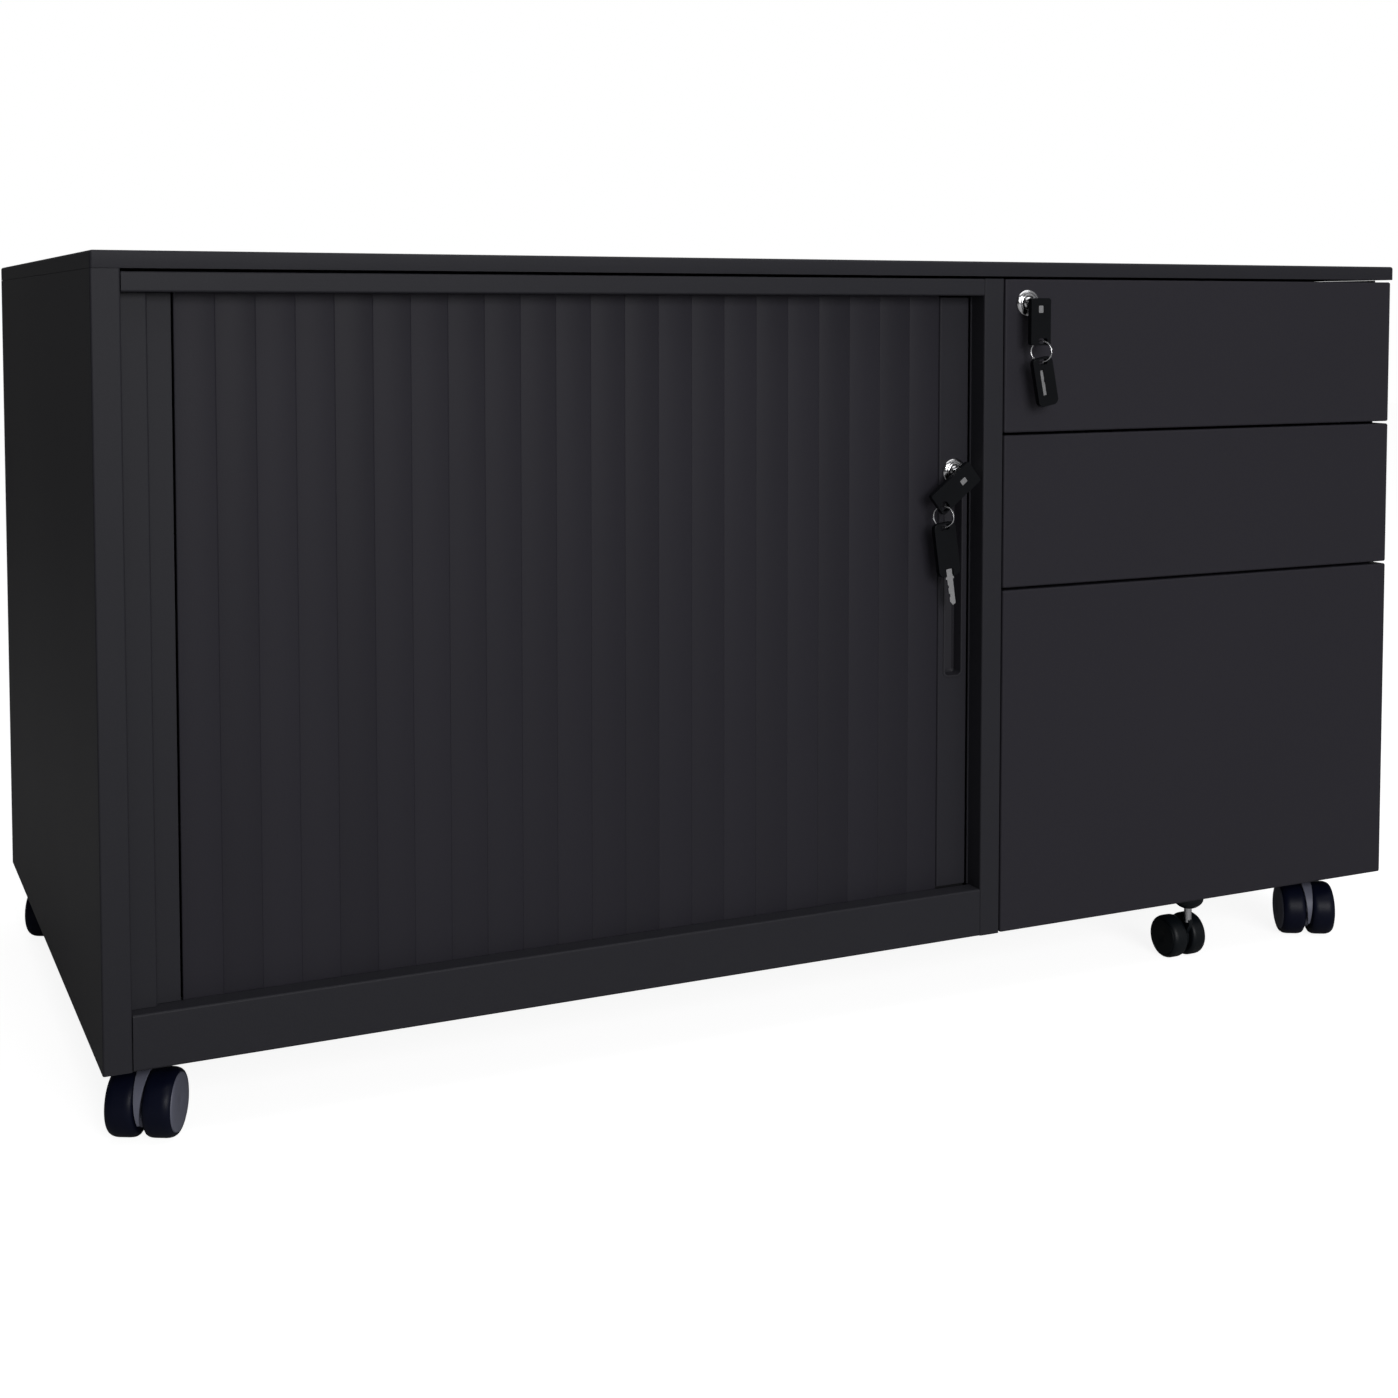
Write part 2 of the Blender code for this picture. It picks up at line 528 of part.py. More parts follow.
def make_tambour():
    lower_floor = BOTTOM_RAIL_HEIGHT - SHEET - TRACK_HEIGHT
    upper_floor = TOP_RAIL_BOTTOM + SHEET + TRACK_HEIGHT
    place_mesh("lower_track", swept(track_path(), track_section(lower_floor, 1)), "dark")
    place_mesh("upper_track", swept(track_path(), track_section(upper_floor, -1)), "dark")

    guard_x = TRACK_INNER_FACE + GUARD_GAP
    guard_low = BASE_HEIGHT + TOUCH
    guard_line = [
        (guard_x + GUARD_FLANGE, BACK_INNER - TOUCH), (guard_x, BACK_INNER - TOUCH),
        (guard_x, GUARD_FRONT), (guard_x + GUARD_FLANGE, GUARD_FRONT),
    ]
    guard = prism(folded(guard_line, SHEET), "Z", guard_low, WALL_TOP)
    place_mesh("curtain_guard", guard, "graphite")

    # slats: one ribbed sheet, with a groove between neighbours
    back = CURTAIN_FRONT + SLAT_THICKNESS
    outline = [(CURTAIN_LEFT, CURTAIN_FRONT)]
    for k in range(1, SLAT_COUNT):
        x = CURTAIN_LEFT + k * SLAT_PITCH
        outline.append((x - GROOVE_WIDTH / 2, CURTAIN_FRONT))
        outline.append((x, CURTAIN_FRONT + GROOVE_DEPTH))
        outline.append((x + GROOVE_WIDTH / 2, CURTAIN_FRONT))
    outline += [(CURTAIN_RIGHT, CURTAIN_FRONT), (CURTAIN_RIGHT, back), (CURTAIN_LEFT, back)]
    curtain_low = lower_floor + TRACK_WALL + RUN_GAP
    curtain_high = upper_floor - TRACK_WALL - RUN_GAP
    place_mesh("tambour_curtain", prism(outline, "Z", curtain_low, curtain_high), "graphite")

    # lead stile: an open channel with the finger pull and the lock hole in its face
    stile_back = TAMBOUR_SETBACK + STILE_DEPTH
    stile_line = [
        (STILE_LEFT, stile_back), (STILE_LEFT, TAMBOUR_SETBACK),
        (STILE_RIGHT, TAMBOUR_SETBACK), (STILE_RIGHT, stile_back),
    ]
    stile_low = BOTTOM_RAIL_HEIGHT + RUN_GAP
    stile_high = TOP_RAIL_BOTTOM - RUN_GAP
    channel = prism(folded(stile_line, SHEET), "Z", stile_low, stile_high)
    stile = place_mesh("lead_stile", channel, "graphite")
    reach = (-PAST, TAMBOUR_SETBACK + STILE_DEPTH / 2)
    hole = round_bar(BARREL_RADIUS + TOUCH, "Y", (TAMBOUR_LOCK_X, 0, TAMBOUR_LOCK_HEIGHT), *reach, 24)
    combine(stile, "DIFFERENCE", hole)
    pull_top = TAMBOUR_LOCK_HEIGHT - PULL_TOP_BELOW_LOCK
    low = (TAMBOUR_LOCK_X - PULL_WIDTH / 2, pull_top - PULL_HEIGHT)
    high = (TAMBOUR_LOCK_X + PULL_WIDTH / 2, pull_top)
    combine(stile, "DIFFERENCE", prism(rounded(low, high, PULL_CORNER), "Y", *reach))

    # the cup behind the slot: a shallow pan, larger than the slot by its rim
    cup_front = TAMBOUR_SETBACK + SHEET + TOUCH
    cup_low = (low[0] - PULL_RIM, cup_front, low[1] - PULL_RIM)
    cup_high = (high[0] + PULL_RIM, cup_front + PULL_DEPTH, high[1] + PULL_RIM)
    place_mesh("pull_cup", pan(cup_low, cup_high, HEAVY_SHEET, 1, -1), "dark")

    # bolt: a flat bar behind the stile that shoots behind the post strip
    bolt_front = TAMBOUR_SETBACK + SHEET + BARREL_DEPTH + TOUCH
    bolt_end = STILE_RIGHT - TOUCH
    bolt_low = (bolt_end - BOLT_LENGTH, bolt_front, TAMBOUR_LOCK_HEIGHT - BOLT_HEIGHT / 2)
    bolt_high = (bolt_end, bolt_front + BOLT_THICKNESS, TAMBOUR_LOCK_HEIGHT + BOLT_HEIGHT / 2)
    place_mesh("tambour_bolt", block(bolt_low, bolt_high), "zinc")


def make_shelf():
    left = TRACK_INNER_FACE + GUARD_GAP + SHEET + SHELF_SIDE_GAP
    right = DIVIDER_LEFT - SHELF_SIDE_GAP
    low = (left, GUARD_FRONT + SHEET + SHELF_GAP, SHELF_HEIGHT)
    high = (right, BACK_INNER - RETURN_DEPTH, SHELF_HEIGHT + SHELF_THICKNESS)
    place_mesh("shelf", pan(low, high, SHEET, 2, -1), "graphite")


# ---------------------------------------------------------------- locks and keys
def key_plate(low, high, corner, notched=False):
    """A plate 5 mm thick about the key's pivot: X runs along it, Z across and Y through it."""
    outline = rounded(low, high, corner)
    if notched:
        # a slot for the blade, open at the upper end so that the head can fold
        half = BLADE_WIDTH / 2 + 2 * TOUCH
        floor = BLADE_THICKNESS / 2 + NOTCH_MARGIN
        last = max(i for i, point in enumerate(outline[:8]) if point[0] < low[0] + TOUCH)
        slot = [(low[0], half), (floor, half), (floor, -half), (low[0], -half)]
        outline[last + 1:last + 1] = slot
    return prism(outline, "Y", -KEY_THICKNESS / 2, KEY_THICKNESS / 2)


def ring_eye(along, across, half_height, half_length, corner):
    low = (along - half_height, across - half_length)
    high = (along + half_height, across + half_length)
    return prism(rounded(low, high, corner), "Y", -KEY_THICKNESS, KEY_THICKNESS)


def make_lock(name, x, z, face, tilt, tail, cam):
    """A cam lock in a front at depth face. Its plug carries the key's blade as far as the fold axis."""
    front = face - LOCK_FLANGE
    bore = PLUG_RADIUS + PLUG_CLEARANCE
    back = face + BARREL_DEPTH
    case = [
        (bore, front), (LOCK_RADIUS - LOCK_BEVEL, front), (LOCK_RADIUS, front + LOCK_BEVEL),
        (LOCK_RADIUS, face - TOUCH), (BARREL_RADIUS, face - TOUCH), (BARREL_RADIUS, back), (bore, back),
    ]
    place_mesh(f"{name}_lock_body", turned(case, "Y", (x, 0, z), 28), "chrome", smooth=True)

    plug = round_bar(PLUG_RADIUS, "Y", (0, 0, 0), -LOCK_FLANGE - PLUG_PROUD, tail, 24)
    piece = place_mesh(f"{name}_lock_plug", plug, "chrome", (x, face, z), tilt=tilt)
    fold = -LOCK_FLANGE - KEY_STANDOFF
    blade_low = (-BLADE_THICKNESS / 2, fold - BLADE_THICKNESS / 2, -BLADE_WIDTH / 2)
    blade_high = (BLADE_THICKNESS / 2, 0, BLADE_WIDTH / 2)
    combine(piece, "UNION", block(blade_low, blade_high))
    if cam:
        # the cam points to the left while the key hangs straight down
        half = CAM_WIDTH / 2
        arm = block((-half, tail - CAM_THICKNESS - TOUCH, -CAM_REACH), (half, tail - TOUCH, 0))
        combine(piece, "UNION", arm)
    return Vector((x, face + fold, z))


def make_keys(name, pivot, tilt, head, eye, spare, spare_tilt, open_blade):
    """The folded key in the lock, a ring through its eye, and the spare key on the ring."""
    length, width, inset, offset = head
    low = (-inset, offset - width / 2)
    high = (length - inset, offset + width / 2)
    plate = key_plate(low, high, HEAD_CORNER, notched=True)
    head_piece = place_mesh(f"{name}_key_head", plate, "black plastic", pivot, tilt=tilt)
    along = high[0] - eye[0]
    across = high[1] - eye[1]
    combine(head_piece, "DIFFERENCE", ring_eye(along, across, *eye[2:]))

    down_key = Vector((math.cos(tilt), 0, -math.sin(tilt)))
    across_key = Vector((math.sin(tilt), 0, math.cos(tilt)))
    hang = pivot + down_key * along + across_key * across
    ring = torus(RING_RADIUS, RING_WIRE, hang - Vector((0, 0, RING_RADIUS)), RING_TURN)
    place_mesh(f"{name}_key_ring", ring, "chrome", hang, smooth=True)

    length, width = spare
    end = length - SPARE_EYE_INSET
    plate = key_plate((-SPARE_EYE_INSET, -width / 2), (end, width / 2), SPARE_CORNER)
    spare_at = hang - Vector((0, 0, 2 * RING_RADIUS))
    spare_piece = place_mesh(f"{name}_spare_key", plate, "black plastic", spare_at, tilt=spare_tilt)
    combine(spare_piece, "DIFFERENCE", ring_eye(0.0, 0.0, *SPARE_EYE))
    if open_blade:
        low = (end - BLADE_THICKNESS, -BLADE_THICKNESS / 2, -BLADE_WIDTH / 2)
        high = (end + BLADE_LENGTH, BLADE_THICKNESS / 2, BLADE_WIDTH / 2)
        combine(spare_piece, "UNION", block(low, high))


# ---------------------------------------------------------------- drawers
def runner_height(bottom, rise):
    return bottom + rise + RUNNER_RISE


def mirrored(x, side):
    return x if side == "left" else 2 * PEDESTAL_CENTRE - x


def side_block(side, x0, x1, y0, y1, z0, z1):
    a, b = sorted((mirrored(x0, side), mirrored(x1, side)))
    return block((a, y0, z0), (b, y1, z1))


def side_prism(side, line, thickness, start, end):
    section = folded(line, thickness)
    return prism([(mirrored(x, side), z) for x, z in section], "Y", start, end)


def make_runner_frames():
    """On each side: three channels, joined by two upright straps."""
    half = RUNNER_HEIGHT / 2
    for side in ("left", "right"):
        piece = None
        for _, bottom, _, rise in DRAWERS:
            z = runner_height(bottom, rise)
            line = [
                (RUNNER_MOUTH, z + half), (RUNNER_WEB, z + half),
                (RUNNER_WEB, z - half), (RUNNER_MOUTH, z - half),
            ]
            channel = side_prism(side, line, HEAVY_SHEET, RUNNER_FRONT, RUNNER_BACK)
            if piece is None:
                piece = place_mesh(f"{side}_runner_frame", channel, "zinc")
            else:
                combine(piece, "UNION", channel)
        for y in (RUNNER_FRONT + STRAP_WIDTH, RUNNER_BACK - 3 * STRAP_WIDTH):
            foot = BASE_HEIGHT + TOUCH
            strap = side_block(side, PEDESTAL_LEFT, STRAP_FACE, y, y + STRAP_WIDTH, foot, TOP_RAIL_BOTTOM)
            combine(piece, "UNION", strap)


def make_lock_bar():
    """An upright strip with a lug for each drawer, which stands in front of its catch when raised."""
    face = PEDESTAL_LEFT + TOUCH
    back = LOCK_BAR_FRONT + LOCK_BAR_WIDTH
    foot = BASE_HEIGHT + LUG_HEIGHT / 2
    head = TOP_RAIL_BOTTOM - LOCK_LIFT - LUG_HEIGHT
    strip = block((face, LOCK_BAR_FRONT, foot), (face + HEAVY_SHEET, back, head))
    piece = place_mesh("lock_bar", strip, "zinc")
    for _, bottom, _, rise in DRAWERS:
        top = runner_height(bottom, rise) - SLIDE_HALF - SLIDE_CLEARANCE - LOCK_LIFT
        low = (face, LOCK_BAR_FRONT + HEAVY_SHEET, top - LUG_HEIGHT)
        combine(piece, "UNION", block(low, (RUNNER_MOUTH, back - HEAVY_SHEET, top)))


def make_drawers():
    for name, bottom, height, rise in DRAWERS:
        top = bottom + height
        front = pan((FRONT_LEFT, 0, bottom), (BODY_RIGHT, FRONT_THICKNESS, top), HEAVY_SHEET, 1, 1)
        piece = place_mesh(f"{name}_drawer_front", front, "graphite")
        if name == "top":
            centre = (DRAWER_LOCK_X, 0, DRAWER_LOCK_Z)
            hole = round_bar(BARREL_RADIUS + TOUCH, "Y", centre, -PAST, FRONT_THICKNESS / 2, 24)
            combine(piece, "DIFFERENCE", hole)

        tray_right = mirrored(TRAY_LEFT, "right")
        low = (TRAY_LEFT, FRONT_THICKNESS + TOUCH, bottom + rise)
        high = (tray_right, BACK_INNER - TRAY_BACK_GAP, top - TRAY_DROP)
        place_mesh(f"{name}_drawer_tray", pan(low, high, HEAVY_SHEET, 2, 1), "graphite")

        z = runner_height(bottom, rise)
        low, high = z - SLIDE_HALF, z + SLIDE_HALF
        inner = RUNNER_WEB + HEAVY_SHEET + SLIDE_CLEARANCE
        outer = TRAY_LEFT - TOUCH
        for side in ("left", "right"):
            line = [(inner, low), (outer, low), (outer, high), (inner, high)]
            channel = side_prism(side, line, HEAVY_SHEET, SLIDE_FRONT, RUNNER_BACK - RUN_GAP)
            slide = place_mesh(f"{name}_{side}_slide", channel, "zinc")
            if side == "left":
                catch_end = SLIDE_FRONT + CATCH_DEPTH
                catch_low = (inner, SLIDE_FRONT, low - CATCH_DROP)
                combine(slide, "UNION", block(catch_low, (outer, catch_end, low + HEAVY_SHEET / 2)))


# ---------------------------------------------------------------- castors
def make_wheel(name, holder, centre, width, radius, side, kind):
    """A barrel-shaped wheel, with a blind bore in its inner side for the axle."""
    inner = WEB_THICKNESS / 2 + WEB_GAP
    bore = AXLE_RADIUS + AXLE_CLEARANCE
    # shares of the radius and of the width, from the bottom of the bore round to the outer face
    shares = (
        (0.74, 0), (0.92, 0.10), (0.99, 0.30), (1, 0.45), (1, 0.62), (0.965, 0.84), (0.88, 0.97), (0.80, 1),
    )
    profile = [(0, inner + width * BORE_SHARE), (bore, inner + width * BORE_SHARE), (bore, inner)]
    profile += [(radius * r, inner + width * w) for r, w in shares]
    profile += [(0, inner + width)]
    points = [(r, side * along) for r, along in profile]
    place_mesh(name, turned(points, "X", centre, 28), kind, centre, holder, smooth=True)


def make_castor(name, stem, turn, diameter, width, trail, stem_radius, stem_top, kind, hub_kind):
    radius = diameter / 2
    holder = empty(f"{name}_swivel", stem, frame, turn)
    axle = Vector((0, -trail, radius - CASTOR_HEIGHT))
    wheel_top = diameter - CASTOR_HEIGHT
    neck_top = wheel_top + 0.0020
    neck_bottom = wheel_top - 0.0060
    cloud = [(-stem_radius, neck_top), (stem_radius, neck_top), (stem_radius, neck_bottom)]
    for k in range(20):
        angle = 2 * math.pi * k / 20
        reach = WEB_SHARE * radius
        cloud.append((axle.y + reach * math.cos(angle), axle.z + reach * math.sin(angle)))
    web = [cloud[i] for i in convex_hull_2d(cloud)]
    half = WEB_THICKNESS / 2
    fork = place_mesh(f"{name}_fork", prism(web, "X", -half, half), hub_kind, (0, 0, 0), holder)
    reach = half + WEB_GAP + width * (BORE_SHARE - 0.05)
    combine(fork, "UNION", round_bar(AXLE_RADIUS, "X", axle, -reach, reach, 16))
    combine(fork, "UNION", round_bar(stem_radius, "Z", (0, 0, 0), wheel_top + 0.0010, stem_top, 20))
    for side, word in ((-1, "left"), (1, "right")):
        make_wheel(f"{name}_{word}_wheel", holder, axle, width, radius, side, kind)


def make_castors():
    left = CASTOR_LEFT_INSET
    right = BODY_RIGHT - CASTOR_RIGHT_INSET
    near = CASTOR_DEPTH_INSET
    back = DEPTH - CASTOR_DEPTH_INSET
    stem_top = BASE_HEIGHT - HEAVY_SHEET - TOUCH
    corners = {
        "front_left": (left, near), "front_right": (right, near),
        "rear_left": (left, back), "rear_right": (right, back),
    }
    for name, (x, y) in corners.items():
        make_castor(
            f"{name}_castor", (x, y, 0), CASTOR_TURN, WHEEL_DIAMETER, WHEEL_WIDTH, CASTOR_TRAIL,
            STEM_RADIUS, stem_top, "tyre", "grey plastic",
        )

    x = (FRONT_LEFT + BODY_RIGHT) / 2
    bore = FILE_STEM_RADIUS + PLUG_CLEARANCE
    roof = -DOME_HEIGHT * 0.27
    profile = [
        (0, roof), (bore, roof), (bore, -DOME_HEIGHT), (DOME_RADIUS * 0.42, -DOME_HEIGHT),
        (DOME_RADIUS * 0.80, -DOME_HEIGHT * 0.66), (DOME_RADIUS, -DOME_HEIGHT * 0.22),
        (DOME_RADIUS, -TOUCH), (0, -TOUCH),
    ]
    dome = turned(profile, "Z", (x, FILE_STEM_SETBACK, 0))
    place_mesh("file_castor_mount", dome, "black plastic", smooth=True)
    make_castor(
        "file_castor", (x, FILE_STEM_SETBACK, 0), math.radians(180), FILE_WHEEL_DIAMETER, FILE_WHEEL_WIDTH,
        FILE_TRAIL, FILE_STEM_RADIUS, roof - TOUCH, "black plastic", "zinc",
    )


make_carcass()
make_cupboard_front()
make_tambour()
make_shelf()
tambour_pivot = make_lock(
    "tambour", TAMBOUR_LOCK_X, TAMBOUR_LOCK_HEIGHT, TAMBOUR_SETBACK, TAMBOUR_KEY_TILT,
    SHEET + BARREL_DEPTH, cam=False,
)
make_keys(
    "tambour", tambour_pivot, TAMBOUR_KEY_TILT, TAMBOUR_HEAD, TAMBOUR_EYE,
    TAMBOUR_SPARE, TAMBOUR_SPARE_TILT, open_blade=True,
)
drawer_pivot = make_lock(
    "drawer", DRAWER_LOCK_X, DRAWER_LOCK_Z, 0.0, DRAWER_KEY_TILT,
    LOCK_BAR_FRONT + LOCK_BAR_WIDTH / 2, cam=True,
)
make_keys(
    "drawer", drawer_pivot, DRAWER_KEY_TILT, DRAWER_HEAD, DRAWER_EYE,
    DRAWER_SPARE, DRAWER_SPARE_TILT, open_blade=False,
)
make_runner_frames()
make_lock_bar()
make_drawers()
make_castors()
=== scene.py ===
"""A mobile steel caddy: a tambour cupboard on the left and a pedestal of three drawers on the right."""
import json
import math

import bmesh
import bpy
from mathutils import Matrix, Vector


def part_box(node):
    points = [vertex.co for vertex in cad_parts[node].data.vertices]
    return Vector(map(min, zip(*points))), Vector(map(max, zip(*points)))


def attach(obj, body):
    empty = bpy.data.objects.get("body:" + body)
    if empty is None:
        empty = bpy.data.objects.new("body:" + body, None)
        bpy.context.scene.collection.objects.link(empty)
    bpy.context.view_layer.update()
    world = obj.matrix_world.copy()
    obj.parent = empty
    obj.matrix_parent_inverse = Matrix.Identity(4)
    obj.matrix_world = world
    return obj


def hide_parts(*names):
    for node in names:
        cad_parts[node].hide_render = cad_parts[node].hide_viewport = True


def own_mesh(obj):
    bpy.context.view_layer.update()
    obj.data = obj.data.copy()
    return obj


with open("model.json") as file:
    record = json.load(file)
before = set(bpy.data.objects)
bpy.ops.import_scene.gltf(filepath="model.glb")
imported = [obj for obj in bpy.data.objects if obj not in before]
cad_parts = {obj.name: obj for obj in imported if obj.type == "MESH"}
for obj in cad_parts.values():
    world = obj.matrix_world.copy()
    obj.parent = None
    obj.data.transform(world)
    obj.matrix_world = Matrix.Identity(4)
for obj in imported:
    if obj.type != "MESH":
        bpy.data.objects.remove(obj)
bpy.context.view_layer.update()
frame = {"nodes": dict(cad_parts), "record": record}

# ---------------------------------------------------------------- studio
# A white floor and a white room, lit softly from above and in front, and darker
# to the left. The camera looks along the cabinet's front from its left end.
VIEW_YAW = math.radians(25.21)
VIEW_DROP = math.radians(3.13)
DIM_LEFT, BRIGHT_RIGHT = 0.02, 0.26
lens_body = bpy.data.cameras.new("camera")
lens_body.sensor_width = 36.0
lens_body.lens = 50.06
lens_body.shift_y = -0.200
camera = bpy.data.objects.new("camera", lens_body)
camera.location = (-0.793, -1.690, 0.601)
camera.rotation_euler = (math.pi / 2 - VIEW_DROP, 0.0, -VIEW_YAW)
bpy.context.collection.objects.link(camera)
bpy.context.scene.camera = camera


def soft_light(name, place, aim, size, power):
    lamp = bpy.data.lights.new(name, "AREA")
    lamp.shape = "RECTANGLE"
    lamp.size, lamp.size_y = size
    lamp.energy = power
    holder = bpy.data.objects.new(name, lamp)
    holder.location = place
    holder.rotation_euler = (Vector(aim) - Vector(place)).to_track_quat("-Z", "Y").to_euler()
    bpy.context.collection.objects.link(holder)


soft_light("ceiling_light", (0.2, -0.6, 3.2), (0.1, 0.0, 0.3), (3.4, 2.4), 34)
soft_light("front_light", (-0.2, -4.6, 1.7), (0.1, 0.0, 0.3), (2.4, 2.0), 92)

room = bpy.data.worlds.new("room")
room.use_nodes = True
walls = room.node_tree
way = walls.nodes.new("ShaderNodeTexCoord")
split = walls.nodes.new("ShaderNodeSeparateXYZ")
sides = walls.nodes.new("ShaderNodeMapRange")
sides.interpolation_type = "SMOOTHSTEP"
sides.inputs["From Min"].default_value = -0.9
sides.inputs["From Max"].default_value = 0.7
sides.inputs["To Min"].default_value = DIM_LEFT
sides.inputs["To Max"].default_value = BRIGHT_RIGHT
seen = walls.nodes.new("ShaderNodeLightPath")
choice = walls.nodes.new("ShaderNodeMix")
choice.inputs[3].default_value = 1.0
walls.links.new(way.outputs["Generated"], split.inputs[0])
walls.links.new(split.outputs["X"], sides.inputs["Value"])
walls.links.new(sides.outputs["Result"], choice.inputs[2])
walls.links.new(seen.outputs["Is Camera Ray"], choice.inputs["Factor"])
walls.nodes["Background"].inputs["Color"].default_value = (1.0, 1.0, 1.0, 1.0)
walls.links.new(choice.outputs["Result"], walls.nodes["Background"].inputs["Strength"])
bpy.context.scene.world = room
bpy.context.scene.view_settings.view_transform = "Standard"

floor_mesh = bpy.data.meshes.new("floor")
FLOOR_HALF = 9.0
floor_corners = [(x * FLOOR_HALF, y * FLOOR_HALF, 0.0) for x, y in ((-1, -1), (1, -1), (1, 1), (-1, 1))]
floor_mesh.from_pydata(floor_corners, [], [(0, 1, 2, 3)])
floor = bpy.data.objects.new("floor", floor_mesh)
bpy.context.collection.objects.link(floor)


# ---------------------------------------------------------------- top cap
# One sheet of 1.2 mm steel, folded down on four sides with 2 mm bends, and
# powder coated graphite with the rest of the body. It is screwed on from inside.
class Term:
    """A shader socket that sums and products can be written with."""

    def __init__(self, paint, socket):
        self.paint = paint
        self.socket = socket

    def maths(self, operation, other, turned=False):
        pair = (other, self) if turned else (self, other)
        return self.paint.node("ShaderNodeMath", {"operation": operation}, {0: pair[0], 1: pair[1]})

    def __add__(self, other):
        return self.maths("ADD", other)

    def __radd__(self, other):
        return self.maths("ADD", other, True)

    def __sub__(self, other):
        return self.maths("SUBTRACT", other)

    def __rsub__(self, other):
        return self.maths("SUBTRACT", other, True)

    def __mul__(self, other):
        return self.maths("MULTIPLY", other)

    def __rmul__(self, other):
        return self.maths("MULTIPLY", other, True)

    def __truediv__(self, other):
        return self.maths("DIVIDE", other)

    def above(self, edge, blur):
        """0 below the edge and 1 above it, with a soft step."""
        settings = {"interpolation_type": "SMOOTHSTEP"}
        return self.paint.node("ShaderNodeMapRange", settings, {0: self, 1: edge - blur, 2: edge + blur})


class Paint:
    """A material and its nodes. Numbers that are the same all over are set on the shader itself."""

    def __init__(self, name, roughness, metallic=0.0, specular=0.5, coat=0.0):
        self.material = bpy.data.materials.new(name)
        self.material.use_nodes = True
        self.tree = self.material.node_tree
        self.shader = self.tree.nodes["Principled BSDF"]
        self.shader.inputs["Roughness"].default_value = roughness
        self.shader.inputs["Metallic"].default_value = metallic
        self.shader.inputs["Specular IOR Level"].default_value = specular
        self.shader.inputs["Coat Weight"].default_value = coat

    def node(self, kind, settings=None, sockets=None, out=0):
        made = self.tree.nodes.new(kind)
        for key, value in (settings or {}).items():
            setattr(made, key, value)
        for key, value in (sockets or {}).items():
            if isinstance(value, Term):
                self.tree.links.new(value.socket, made.inputs[key])
            else:
                made.inputs[key].default_value = value
        return Term(self, made.outputs[out])

    def place(self, centre=(0, 0, 0), turn=(0, 0, 0), stretch=(1, 1, 1)):
        """Object coordinates about a centre, turned and stretched."""
        here = self.node("ShaderNodeTexCoord", out="Object")
        shift = self.node("ShaderNodeVectorMath", {"operation": "SUBTRACT"}, {0: here, 1: centre})
        return self.node("ShaderNodeMapping", {}, {"Vector": shift, "Rotation": turn, "Scale": stretch})

    def axis(self, place, which):
        return self.node("ShaderNodeSeparateXYZ", {}, {0: place}, which)

    def noise(self, scale, detail=2.0, place=None):
        at = place or self.place()
        return self.node("ShaderNodeTexNoise", {}, {"Vector": at, "Scale": scale, "Detail": detail}, "Fac")

    def mix(self, factor, first, second):
        ends = [c if isinstance(c, Term) else (*c, 1.0) for c in (first, second)]
        return self.node("ShaderNodeMix", {"data_type": "RGBA"}, {0: factor, 6: ends[0], 7: ends[1]}, 2)

    def feed(self, **ends):
        """Links terms to the shader: colour, roughness or relief, a (height, depth in metres) pair."""
        names = {"colour": "Base Color", "roughness": "Roughness", "metallic": "Metallic"}
        for key, term in ends.items():
            if key == "relief":
                height, depth = term
                term = self.node("ShaderNodeBump", {}, {"Height": height, "Distance": depth, "Strength": 1.0})
            socket = self.shader.inputs[names.get(key, "Normal")]
            self.tree.links.new(term.socket, socket)
        return self.material


def shade(colour, share):
    return tuple(min(c * share, 1.0) for c in colour)


def powder_coat(name, colour, roughness, specular=0.15, relief=0.00007):
    """Fine-textured powder paint: a dense orange peel, small specks and a slow change of tone."""
    paint = Paint(name, roughness, specular=specular)
    peel = paint.noise(620.0, 2.0)
    speck = paint.noise(1500.0, 1.0)
    drift = paint.noise(2.3, 3.0)
    tone = peel * 0.30 + speck * 0.30 + drift * 0.40
    return paint.feed(
        colour=paint.mix(tone, shade(colour, 0.80), shade(colour, 1.20)),
        roughness=roughness - 0.06 + drift * 0.08 + peel * 0.05,
        relief=(peel * 0.7 + speck * 0.3, relief),
    )


def finish_piece(name, bm, material, body, nodes=(), wall=0.0, turn=None):
    """Makes a piece of bm that rides on a body and stands for CAD nodes. A wall makes it a sheet."""
    if turn:
        bmesh.ops.transform(bm, matrix=turn, verts=bm.verts)
    if not wall:
        bmesh.ops.recalc_face_normals(bm, faces=bm.faces)
    mesh = bpy.data.meshes.new(name)
    bm.to_mesh(mesh)
    bm.free()
    mesh.shade_smooth()
    mesh.set_sharp_from_angle(angle=math.radians(33))
    mesh.materials.append(material)
    made = bpy.data.objects.new(name, mesh)
    bpy.context.collection.objects.link(made)
    if wall:
        sheet = made.modifiers.new("sheet", "SOLIDIFY")
        sheet.thickness = wall
        sheet.offset = -1.0
        sheet.use_even_offset = True
    even = made.modifiers.new("even_shading", "WEIGHTED_NORMAL")
    even.keep_sharp = True
    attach(made, body)
    if nodes:
        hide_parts(*nodes)
    return made


